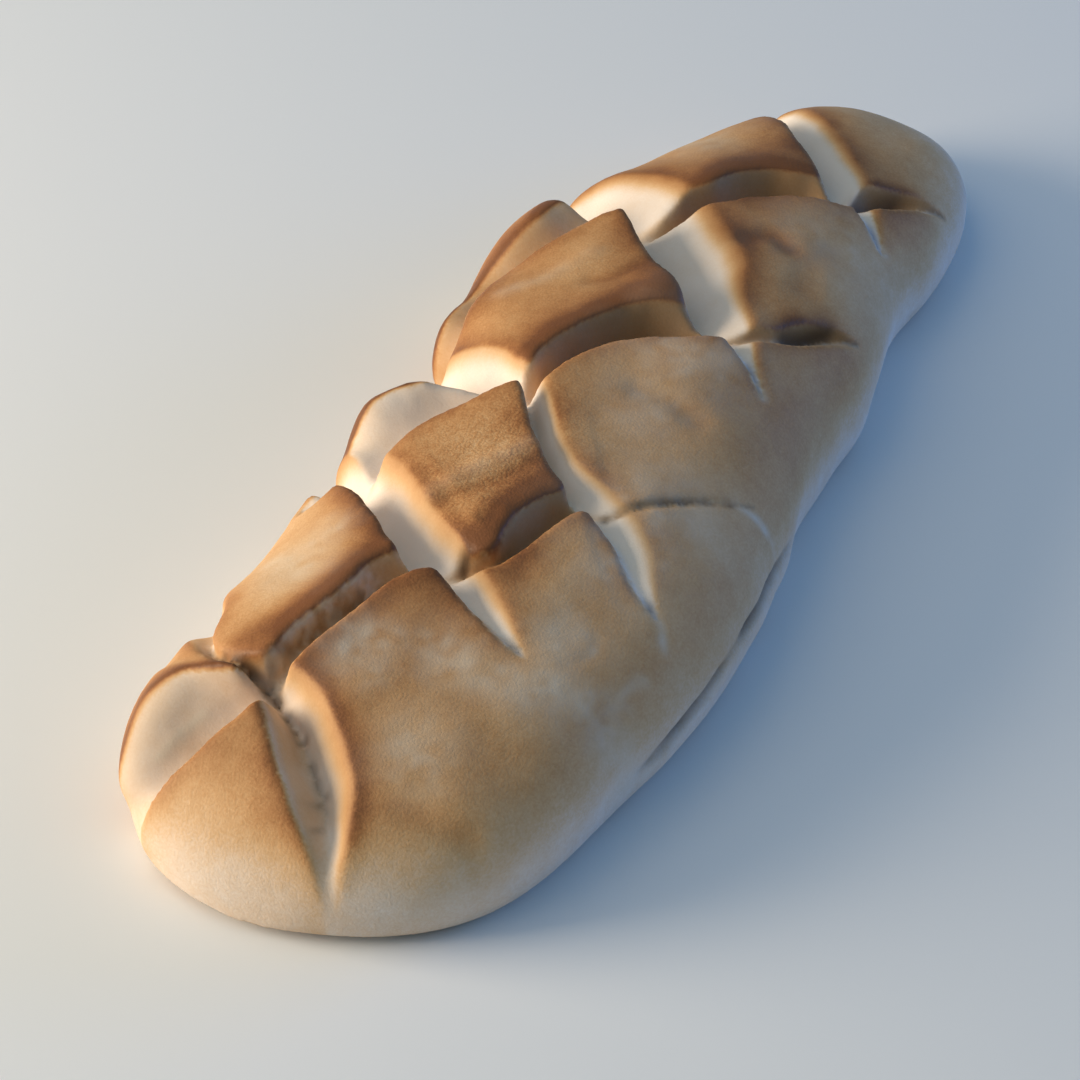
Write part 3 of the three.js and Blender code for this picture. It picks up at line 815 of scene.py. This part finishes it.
@dataclass(frozen=True)
class Foot:
    """The fold along the right side, where the crown spread over the foot of the loaf."""

    fold: Pairs = (
        (-96, 11), (-86, 14), (-73, 15.5), (-60, 17), (-46, 19.5), (-33, 20), (-18, 17.5), (-6, 14),
    )
    depth: float = 1.9
    width: float = 1.2
    lip: float = 1.0
    lip_width: float = 4.5
    end: float = 14.0
    side: tuple[float, float] = (20.0, 35.0)
    least_gape: float = 0.3
    usual_gape: float = 0.75
    gape: Lumps = Lumps(((0.5, 9, 43),))
    wander: Lumps = Lumps(((1.2, 14, 41),))

    def beside(self, points: np.ndarray) -> tuple[np.ndarray, np.ndarray]:
        """Height of each point above the fold, and how much of the fold there is at its place."""
        x, y, z = points[..., 0], points[..., 1], points[..., 2]
        along, level = np.array(self.fold, float).T
        above = z - np.interp(x, along, level) - self.wander.at(points * LENGTHWISE)
        there = smooth(along[0], along[0] + self.end, x) * (1 - smooth(along[-1] - self.end, along[-1], x))
        return above, there * smooth(*self.side, -y)

    def crack(self, points: np.ndarray) -> np.ndarray:
        """Share of the open fold at each point, from 0 to 1."""
        above, there = self.beside(points)
        wide = np.clip(self.usual_gape + self.gape.at(points * LENGTHWISE), self.least_gape, 1)
        return there * wide * np.exp(-((above / self.width) ** 2))

    def raised(self, points: np.ndarray) -> np.ndarray:
        """Height of the lip under the fold, less the fold, at each point."""
        above, there = self.beside(points)
        lip = self.lip * there * np.exp(-(((above + self.lip_width) / self.lip_width) ** 2))
        return lip - self.depth * self.crack(points)


@dataclass(frozen=True)
class Wiring:
    """Adds joined nodes to a node tree."""

    tree: NodeTree

    def node(self, kind: str, inputs: dict | None = None, **settings: str) -> Node:
        """Add a node.

        Args:
            kind: the node's type.
            inputs: what each of its inputs is joined to or set to.
            settings: the node's own choices, such as its operation.

        Returns:
            The node.
        """
        made = self.tree.nodes.new(kind)
        for name, choice in settings.items():
            setattr(made, name, choice)
        for name, value in (inputs or {}).items():
            if isinstance(value, NodeSocket):
                self.tree.links.new(value, made.inputs[name])
            else:
                made.inputs[name].default_value = value
        return made

    def maths(self, operation: str, *values: NodeSocket | float) -> NodeSocket:
        """Combine values."""
        return self.node("ShaderNodeMath", dict(enumerate(values)), operation=operation).outputs["Value"]

    def lumps(self, place: NodeSocket, scale: NodeSocket | float, detail: float) -> NodeSocket:
        """Noise between 0 and 1."""
        inputs = {"Vector": place, "Scale": scale, "Detail": detail}
        return self.node("ShaderNodeTexNoise", inputs).outputs["Fac"]


@dataclass(frozen=True)
class CrustFinish:
    """Baked crust: one browning scale from pale dough to dark toast, with flour and dark cracks over it; the
    dark also paints shade in the grooves and the flour colour a sheen streak.
    """

    name: str = "baked_crust"
    scale: tuple[tuple[float, Triple], ...] = (
        (0.00, (0.800, 0.712, 0.655)),
        (0.18, (0.740, 0.590, 0.470)),
        (0.38, (0.645, 0.415, 0.226)),
        (0.58, (0.520, 0.274, 0.112)),
        (0.78, (0.345, 0.140, 0.046)),
        (1.00, (0.150, 0.052, 0.018)),
    )
    # Flour colour, which also paints a sheen streak on one groove floor.
    flour: Triple = (0.690, 0.610, 0.500)
    # Dark of cracks, which also paints shade on groove walls and floors.
    crack: Triple = (0.060, 0.032, 0.018)
    mottle_size: float = 12.0
    mottle: float = 0.24
    fleck_size: float = 2.4
    fleck: float = 0.22
    speck_size: float = 0.6
    speck: float = 0.34
    pale_roughness: float = 0.82
    toasted_roughness: float = 0.5
    gloss_browning: tuple[float, float] = (0.2, 0.9)
    least_dusting: float = 0.45
    specular: float = 0.22
    bump: float = 0.32
    bump_height: float = 0.5
    bump_fleck: float = 0.4

    def material(self) -> Material:
        """Build the crust's material from its attributes and object coordinates."""
        made = bpy.data.materials.new(self.name)
        made.use_nodes = True
        wiring = Wiring(made.node_tree)
        maths = wiring.maths
        place = wiring.node("ShaderNodeTexCoord").outputs["Object"]

        def attribute(tone: Tone) -> NodeSocket:
            """Read one of the loaf's tones."""
            return wiring.node("ShaderNodeAttribute", attribute_name=tone.value).outputs["Fac"]

        def around_zero(value: NodeSocket, amount: float) -> NodeSocket:
            """Turn noise from 0 to 1 into plus or minus half an amount."""
            return maths("MULTIPLY", maths("SUBTRACT", value, 0.5), amount)

        def blend(share: NodeSocket, under: NodeSocket, over: Triple) -> NodeSocket:
            """Lay one flat colour over another by a share."""
            inputs = {"Factor": share, 6: under, 7: (*over, 1)}
            return wiring.node("ShaderNodeMix", inputs, data_type="RGBA").outputs[2]

        mottle = wiring.lumps(place, 1 / (self.mottle_size * MM), 3)
        fleck = wiring.lumps(place, 1 / (self.fleck_size * MM), 4)
        speck = wiring.lumps(place, 1 / (self.speck_size * MM), 4)
        grain = attribute(Tone.GRAIN)
        browning = maths("ADD", attribute(Tone.BROWNING), around_zero(mottle, self.mottle))
        fine = maths("ADD", around_zero(fleck, self.fleck), around_zero(speck, self.speck))
        browning = maths("ADD", browning, maths("MULTIPLY", fine, grain))
        toast = wiring.node("ShaderNodeValToRGB", {"Fac": browning})
        stops = toast.color_ramp.elements
        toast.color_ramp.interpolation = "B_SPLINE"
        stops.remove(stops[1])
        for k, (position, colour) in enumerate(self.scale):
            stop = stops[0] if k == 0 else stops.new(position)
            stop.position = position
            stop.color = (*colour, 1)
        dusting = maths("MULTIPLY", attribute(Tone.FLOUR), maths("ADD", fleck, self.least_dusting))
        colour = blend(dusting, toast.outputs["Color"], self.flour)
        # Dark cracks and painted shade laid over the colour.
        colour = blend(attribute(Tone.DARK), colour, self.crack)
        low, high = self.gloss_browning
        inputs = {"Value": browning, "From Min": low, "From Max": high}
        inputs |= {"To Min": self.pale_roughness, "To Max": self.toasted_roughness}
        gloss = wiring.node("ShaderNodeMapRange", inputs)
        height = maths("ADD", maths("MULTIPLY", fleck, self.bump_fleck), speck)
        inputs = {"Strength": self.bump, "Distance": self.bump_height * MM}
        inputs["Height"] = maths("MULTIPLY", height, grain)
        relief = wiring.node("ShaderNodeBump", inputs)
        shader = made.node_tree.nodes["Principled BSDF"]
        links = made.node_tree.links
        links.new(colour, shader.inputs["Base Color"])
        links.new(gloss.outputs["Result"], shader.inputs["Roughness"])
        links.new(relief.outputs["Normal"], shader.inputs["Normal"])
        shader.inputs["Specular IOR Level"].default_value = self.specular
        return made


@dataclass(frozen=True)
class CrustRelief:
    """Geometry Nodes that carry the loaf's tones onto its even mesh and raise the grain and torn crumb."""

    grain_size: float = 1.6
    grain_height: float = 0.11
    blister_size: float = 3.4
    blister_height: float = 0.20
    crumb_size: float = 1.7
    crumb_height: float = 1.3

    def sizes(self) -> dict[str, float]:
        """The sizes in metres, by the names of the tree's inputs."""
        return {item.name.replace("_", " ").title(): getattr(self, item.name) * MM for item in fields(self)}

    def tree(self) -> NodeTree:
        """Build the node tree, with named inputs for its sizes."""
        tree = bpy.data.node_groups.new("crust_relief", "GeometryNodeTree")
        kinds = {"Geometry": "Geometry", "Form": "Object", "Crust": "Material"}
        kinds |= dict.fromkeys(self.sizes(), "Float")
        for name, kind in kinds.items():
            tree.interface.new_socket(name, in_out="INPUT", socket_type=f"NodeSocket{kind}")
        tree.interface.new_socket("Geometry", in_out="OUTPUT", socket_type="NodeSocketGeometry")
        wiring = Wiring(tree)
        maths = wiring.maths
        given = wiring.node("NodeGroupInput").outputs
        where = wiring.node("GeometryNodeInputPosition").outputs["Position"]

        def lumps(size: str, detail: float) -> NodeSocket:
            """Noise about zero whose lumps are as wide as a named input."""
            return maths("SUBTRACT", wiring.lumps(where, maths("DIVIDE", 1.0, given[size]), detail), 0.5)

        form = wiring.node("GeometryNodeObjectInfo", {"Object": given["Form"]}, transform_space="RELATIVE")
        geometry = given["Geometry"]
        carried = {}
        for tone in Tone:
            source = wiring.node("GeometryNodeInputNamedAttribute", {"Name": tone.value}, data_type="FLOAT")
            carried[tone] = source.outputs["Attribute"]
            inputs = {"Mesh": form.outputs["Geometry"], "Value": carried[tone]}
            nearest = wiring.node("GeometryNodeSampleNearestSurface", inputs, data_type="FLOAT")
            inputs = {"Geometry": geometry, "Name": tone.value, "Value": nearest.outputs["Value"]}
            store = wiring.node("GeometryNodeStoreNamedAttribute", inputs, data_type="FLOAT", domain="POINT")
            geometry = store.outputs["Geometry"]
        inputs = {"Scale": maths("DIVIDE", 1.0, given["Blister Size"]), "Vector": where}
        blisters = wiring.node("ShaderNodeTexVoronoi", inputs, feature="SMOOTH_F1")
        dome = maths("MAXIMUM", maths("SUBTRACT", 0.5, blisters.outputs["Distance"]), 0.0)
        grain = maths("MULTIPLY", lumps("Grain Size", 3), given["Grain Height"])
        raised = maths("ADD", maths("MULTIPLY", dome, given["Blister Height"]), grain)
        raised = maths("MULTIPLY", raised, carried[Tone.GRAIN])
        torn = maths("MULTIPLY", lumps("Crumb Size", 2), given["Crumb Height"])
        raised = maths("ADD", raised, maths("MULTIPLY", torn, carried[Tone.CRUMB]))
        facing = wiring.node("GeometryNodeInputNormal").outputs["Normal"]
        offset = wiring.node("ShaderNodeVectorMath", {"Vector": facing, "Scale": raised}, operation="SCALE")
        inputs = {"Geometry": geometry, "Offset": offset.outputs["Vector"]}
        made = wiring.node("GeometryNodeSetPosition", inputs)
        for kind in ("GeometryNodeSetShadeSmooth", "GeometryNodeRealizeInstances"):
            made = wiring.node(kind, {"Geometry": made.outputs["Geometry"]})
        inputs = {"Geometry": made.outputs["Geometry"], "Material": given["Crust"]}
        dressed = wiring.node("GeometryNodeSetMaterial", inputs)
        wiring.node("NodeGroupOutput", {"Geometry": dressed.outputs["Geometry"]})
        return tree

    def add_to(self, piece: Object, form: Object, crust: Material) -> None:
        """Put the tree on a piece as a modifier and set its inputs.

        Args:
            piece: the even mesh.
            form: the mesh that carries the tones.
            crust: the finish to set.
        """
        modifier = piece.modifiers.new("crust_relief", "NODES")
        modifier.node_group = self.tree()
        values = {"Form": form, "Crust": crust, **self.sizes()}
        for item in modifier.node_group.interface.items_tree:
            if item.in_out == "INPUT" and item.name in values:
                modifier[item.identifier] = values[item.name]


@dataclass
class Loaf:
    """The whole loaf: plain body, opened slashes, marks in the crust and the baked finish."""

    body: LoafBody = LoafBody()
    slashes: tuple[Slash, ...] = LONG_STROKES + CROSS_STROKES
    swells: tuple[Swell, ...] = SWELLS
    marks: tuple[Mark, ...] = PITS_CRACKS_AND_PAINTED_SHADE + TOASTED_PLACES + FLOUR_AND_SHEEN_PLACES
    foot: Foot = Foot()
    finish: CrustFinish = CrustFinish()
    relief: CrustRelief = CrustRelief()
    centring: tuple[float, float] = (0.26, 0.39)
    fade_low: float = 4.0
    fade_high: float = 14.0
    fade_tip_start: float = 148.0
    fade_tip_end: float = 158.0
    voxel: float = 0.93
    thinning: float = 0.75
    even_passes: int = 2
    even_share: float = 0.5
    flat_level: float = 0.3
    widest_crack: float = 2.4
    underside_turn: float = -0.5
    base_turn: tuple[float, float] = (0.5, 0.95)
    crown_levels: tuple[float, float] = (9.0, 31.0)
    mark_levels: tuple[float, float] = (2.0, 8.0)
    edge_wander: Lumps = Lumps(((0.8, 11, 3), (0.25, 4.5, 5)))
    crown_lumps: Lumps = Lumps(((0.8, 27, 11), (0.4, 12, 13)))
    patches: Lumps = Lumps(((0.5, 6, 31), (0.4, 2.2, 33)))
    breaks: Lumps = Lumps(((0.8, 3.5, 35), (0.5, 1.8, 37)))
    rips: Lumps = Lumps(((0.9, 1.5, 27), (0.4, 4.0, 29)))
    clouds: Lumps = Lumps(((0.10, 34, 21),))
    rim_patches: Lumps = Lumps(((0.5, 8, 23),))
    dough_patches: Lumps = Lumps(((0.05, 9, 25),))
    base_patches: Lumps = Lumps(((0.12, 22, 45), (0.08, 5, 47)))
    base_dust: Lumps = Lumps(((1.0, 9, 49),))
    usual_patch: float = 0.8
    most_patch: float = 1.3
    usual_break: float = 0.85
    even_toast: float = 0.75
    flour_inside: float = 0.3
    side_browning: float = 0.17
    crown_browning: float = 0.55
    rim_browning: float = 0.31
    ear_browning: float = 0.018
    full_ear: float = 5.0
    base_browning: float = 0.5
    base_flour: float = 0.5
    torn_flour: float = 0.8
    torn_dark: float = 0.6
    crack_dark: float = 0.6
    fold_dark: float = 0.85
    grain: float = 0.6
    grain_inside: float = 0.3
    sandy_grain: float = 0.9
    sandy_place: tuple[float, float] = (-52.0, 4.0)
    sandy_reach: tuple[float, float] = (20.0, 16.0)
    crumb_edge: tuple[float, float] = (-0.1, 0.5)
    pore_edge: tuple[float, float] = (0.1, 0.5)
    dust_edge: tuple[float, float] = (-0.2, 0.6)

    def marked(
        self, points: np.ndarray, upper: np.ndarray, inside: np.ndarray
    ) -> tuple[np.ndarray, dict[Tone, np.ndarray]]:
        """Press the marks into the crust.

        Args:
            points: points of the plain loaf.
            upper: 1 above the underside.
            inside: 1 in the openings.

        Returns:
            The depth pressed in, and what the marks add to each tone.
        """
        there = smooth(*self.mark_levels, points[..., 2]) * upper
        patchy = np.clip(self.usual_patch + self.patches.at(points), 0, self.most_patch)
        broken = np.clip(self.usual_break + self.breaks.at(points), 0, 1)
        floury = patchy * mix(1, self.flour_inside, inside)
        pressed = np.zeros_like(upper)
        tones = {tone: np.zeros_like(upper) for tone in (Tone.BROWNING, Tone.FLOUR, Tone.DARK)}
        for mark in self.marks:
            share = mark.share(points) * there
            pressed += share * mark.depth
            if mark.tone is Tone.BROWNING:
                tones[mark.tone] += share * mark.strength * mix(patchy, 1, self.even_toast)
                continue
            if mark.tone is Tone.FLOUR:
                share = share * floury
            elif mark.width <= self.widest_crack:
                share = share * broken
            tones[mark.tone] = np.maximum(tones[mark.tone], share * mark.strength)
        return pressed, tones

    def opened(self, points: np.ndarray, normals: np.ndarray) -> tuple[np.ndarray, dict[Tone, np.ndarray]]:
        """Open the slashes and press the marks into the plain loaf.

        Args:
            points: points of the plain loaf.
            normals: outward normals there.

        Returns:
            The shaped points, and the tone of the crust at each.
        """
        upper = (normals[..., 2] > self.underside_turn).astype(float)
        fade = smooth(self.fade_low, self.fade_high, points[..., 2]) * upper
        fade = fade * (1 - smooth(self.fade_tip_start, self.fade_tip_end, np.abs(points[..., 0])))
        ragged = self.edge_wander.at(points)
        met = together([slash.open(points, ragged) for slash in self.slashes])
        met = replace(met, inside=met.inside * fade, torn=np.clip(met.torn, 0, 1))
        pressed, marked = self.marked(points, upper, met.inside)
        out = (met.rise - met.drop + self.crown_lumps.at(points)) * fade - pressed
        out = out + self.foot.raised(points) * upper
        lean = np.concatenate([met.lean * fade[..., None], np.zeros(fade.shape + (1,))], -1)
        lean -= normals * np.sum(lean * normals, -1, keepdims=True)
        shaped = points + normals * out[..., None] + lean
        shaped[..., 2] += sum(swell.raised(points) for swell in self.swells) * fade
        shaped[..., 2] = np.maximum(shaped[..., 2], 0)
        ripped = self.rips.at(shaped)
        crumbs = self.torn_flour * met.torn * smooth(*self.crumb_edge, ripped)
        pores = self.torn_dark * met.torn * smooth(*self.pore_edge, -ripped)
        # Dark of the fine cracks, together with painted shade on the walls under the ears.
        groove = np.maximum(self.crack_dark * met.crack, met.shaded) * fade
        fold = self.fold_dark * self.foot.crack(points)
        under = smooth(*self.base_turn, -normals[..., 2])
        dust = self.base_flour * under * smooth(*self.dust_edge, self.base_dust.at(points))
        tones = {
            Tone.BROWNING: mix(self.browned(points, met, marked[Tone.BROWNING]), self.baked(points), under),
            Tone.FLOUR: np.max([marked[Tone.FLOUR], crumbs, dust], axis=0),
            Tone.DARK: np.max([marked[Tone.DARK], groove, fold, pores], axis=0),
            Tone.CRUMB: met.torn * fade,
            Tone.GRAIN: mix(self.grained(points), self.grain_inside, met.inside),
        }
        return shaped, tones

    def browned(self, points: np.ndarray, met: Opening, toast: np.ndarray) -> np.ndarray:
        """Browning of the crust and of the opened dough.

        Args:
            points: points of the plain loaf.
            met: what the slashes do there.
            toast: what the marks add.

        Returns:
            The browning at each point.
        """
        crown = smooth(*self.crown_levels, points[..., 2])
        crust = mix(self.side_browning, self.crown_browning, crown) + self.clouds.at(points) * crown
        crust = crust + self.ear_browning * np.minimum(met.rise, self.full_ear)
        toasted = crust + toast + self.rim_browning * met.rim * (1 + self.rim_patches.at(points))
        return mix(toasted, met.browning + self.dough_patches.at(points), met.inside)

    def baked(self, points: np.ndarray) -> np.ndarray:
        """Browning of the underside."""
        return self.base_browning + self.base_patches.at(points)

    def grained(self, points: np.ndarray) -> np.ndarray:
        """How strong the crust's grain is, strongest on its sandy plate."""
        away = (points[..., :2] - np.array(self.sandy_place)) / np.array(self.sandy_reach)
        return self.grain + self.sandy_grain * np.exp(-np.sum(away**2, -1))

    def form(self) -> Object:
        """Make the shaped loaf as a dense mesh that carries the tones."""
        points, normals = self.body.grid()
        shaped, tones = self.opened(points, normals)
        tips = [shaped[:, 0].mean(0), shaped[:, -1].mean(0)]
        corners = np.concatenate([shaped.reshape(-1, 3), tips])
        corners[:, 0] += self.centring[0]
        corners[:, 1] += self.centring[1]
        mesh = bpy.data.meshes.new("loaf_form")
        mesh.from_pydata((corners * MM).tolist(), [], self.body.faces(len(points)).tolist())
        for tone, values in tones.items():
            layer = mesh.attributes.new(tone.value, "FLOAT", "POINT")
            ends = [values[:, 0].mean(), values[:, -1].mean()]
            layer.data.foreach_set("value", np.append(values.ravel(), ends).astype(np.float32))
        mesh.update()
        made = bpy.data.objects.new("loaf_form", mesh)
        bpy.context.scene.collection.objects.link(made)
        return made

    def build(self) -> Object:
        """Even out the shaped loaf's mesh, raise its grain and give it its finish."""
        form = self.form()
        piece = bpy.data.objects.new("loaf_crust", form.data.copy())
        bpy.context.scene.collection.objects.link(piece)
        even = piece.modifiers.new("even", "REMESH")
        even.mode = "VOXEL"
        even.voxel_size = self.voxel * MM
        ease = piece.modifiers.new("ease", "SMOOTH")
        ease.factor = self.even_share
        ease.iterations = self.even_passes
        thin = piece.modifiers.new("thin", "DECIMATE")
        thin.ratio = self.thinning
        self.relief.add_to(piece, form, self.finish.material())
        evaluated = piece.evaluated_get(bpy.context.evaluated_depsgraph_get())
        mesh = bpy.data.meshes.new_from_object(evaluated)
        piece.modifiers.clear()
        piece.data = mesh
        bpy.data.objects.remove(form)
        corners = np.empty(len(mesh.vertices) * 3, np.float32)
        mesh.vertices.foreach_get("co", corners)
        corners = corners.reshape(-1, 3)
        corners[:, 2] = np.where(corners[:, 2] < self.flat_level * MM, 0, corners[:, 2])
        mesh.vertices.foreach_set("co", corners.ravel())
        mesh.update()
        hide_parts(LOAF_NODE)
        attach(piece, LOAF_BODY)
        return piece


@dataclass(frozen=True)
class Lamp:
    """A square soft light aimed at the loaf."""

    name: str
    place: Triple
    size: float
    power: float
    colour: Triple
    shine: float = 1.0

    def build(self, aim: Vector) -> Object:
        """Hang the lamp and turn it toward a point."""
        lamp = bpy.data.lights.new(self.name, "AREA")
        lamp.size = self.size
        lamp.energy = self.power
        lamp.color = self.colour
        lamp.specular_factor = self.shine
        made = bpy.data.objects.new(self.name, lamp)
        made.location = self.place
        made.rotation_euler = (aim - Vector(self.place)).to_track_quat("-Z", "Y").to_euler()
        bpy.context.scene.collection.objects.link(made)
        return made


@dataclass(frozen=True)
class Studio:
    """Pale floor, soft warm key from the loaf's left, cool fill from its right, and the camera."""

    floor_size: float = 6.0
    floor_colour: Triple = (0.80, 0.80, 0.81)
    floor_roughness: float = 0.9
    air_colour: Triple = (0.48, 0.80, 1.0)
    air_strength: float = 0.27
    lamps: tuple[Lamp, ...] = (
        Lamp("key", (-0.55, 0.89, 0.30), 0.6, 17, (1.0, 0.85, 0.64)),
        Lamp("sky", (-0.35, 0.6, 1.15), 1.2, 4.5, (1.0, 0.90, 0.78)),
        Lamp("fill", (0.9, -0.9, 0.16), 0.8, 10, (0.09, 0.30, 1.0), shine=0.2),
    )
    lamp_aim: Triple = (0.0, 0.0, 0.02)
    aim: Triple = (-47.84, -6.81, 25)
    azimuth: float = -62.0
    elevation: float = 40.0
    distance: float = 762.0
    lens: float = 114.93
    sensor: float = 36.0
    nearest: float = 0.01

    def floor(self) -> Object:
        """Lay the plain floor."""
        half = self.floor_size / 2
        mesh = bpy.data.meshes.new("floor")
        corners = [(-half, -half, 0), (half, -half, 0), (half, half, 0), (-half, half, 0)]
        mesh.from_pydata(corners, [], [(0, 1, 2, 3)])
        paint = bpy.data.materials.new("pale_floor")
        paint.use_nodes = True
        shader = paint.node_tree.nodes["Principled BSDF"]
        shader.inputs["Base Color"].default_value = (*self.floor_colour, 1)
        shader.inputs["Roughness"].default_value = self.floor_roughness
        mesh.materials.append(paint)
        made = bpy.data.objects.new("floor", mesh)
        bpy.context.scene.collection.objects.link(made)
        made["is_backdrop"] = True
        return made

    def light(self) -> None:
        """Hang the lamps and set the light of the air."""
        for lamp in self.lamps:
            lamp.build(Vector(self.lamp_aim))
        world = bpy.data.worlds.new("air")
        world.use_nodes = True
        backdrop = world.node_tree.nodes["Background"]
        backdrop.inputs["Color"].default_value = (*self.air_colour, 1)
        backdrop.inputs["Strength"].default_value = self.air_strength
        bpy.context.scene.world = world
        bpy.context.scene.view_settings.view_transform = "Standard"

    def camera(self) -> Object:
        """Set up the camera at the viewing angle of the picture."""
        turn, height = math.radians(self.azimuth), math.radians(self.elevation)
        level = math.cos(height)
        back = Vector((math.sin(turn) * level, -math.cos(turn) * level, math.sin(height)))
        camera = bpy.data.cameras.new("camera")
        camera.sensor_width = self.sensor
        camera.lens = self.lens
        camera.clip_start = self.nearest
        made = bpy.data.objects.new("camera", camera)
        made.location = (Vector(self.aim) + back * self.distance) * MM
        made.rotation_euler = back.to_track_quat("Z", "Y").to_euler()
        bpy.context.scene.collection.objects.link(made)
        bpy.context.scene.camera = made
        return made


def report(piece: Object) -> None:
    """Log a piece's size and its number of triangles."""
    mesh = piece.data
    mesh.calc_loop_triangles()
    size = " x ".join(f"{side / MM:.1f}" for side in piece.dimensions)
    log.info("%s: %s mm, %d triangles", piece.name, size, len(mesh.loop_triangles))


def write_sizes() -> None:
    """Gather the box of the solids and the box of the dressed loaf as lists of corners."""
    boxes = {"cad": CAD_BOX, "visual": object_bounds()}
    lists = {name: [list(corner) for corner in box] for name, box in boxes.items()}


def main() -> None:
    """Build the studio and the loaf, and report each piece."""
    logging.basicConfig(level=logging.INFO, format="%(name)s: %(message)s")
    studio = Studio()
    studio.camera()
    studio.light()
    studio.floor()
    report(Loaf().build())
    write_sizes()


if __name__ == "__main__":
    main()
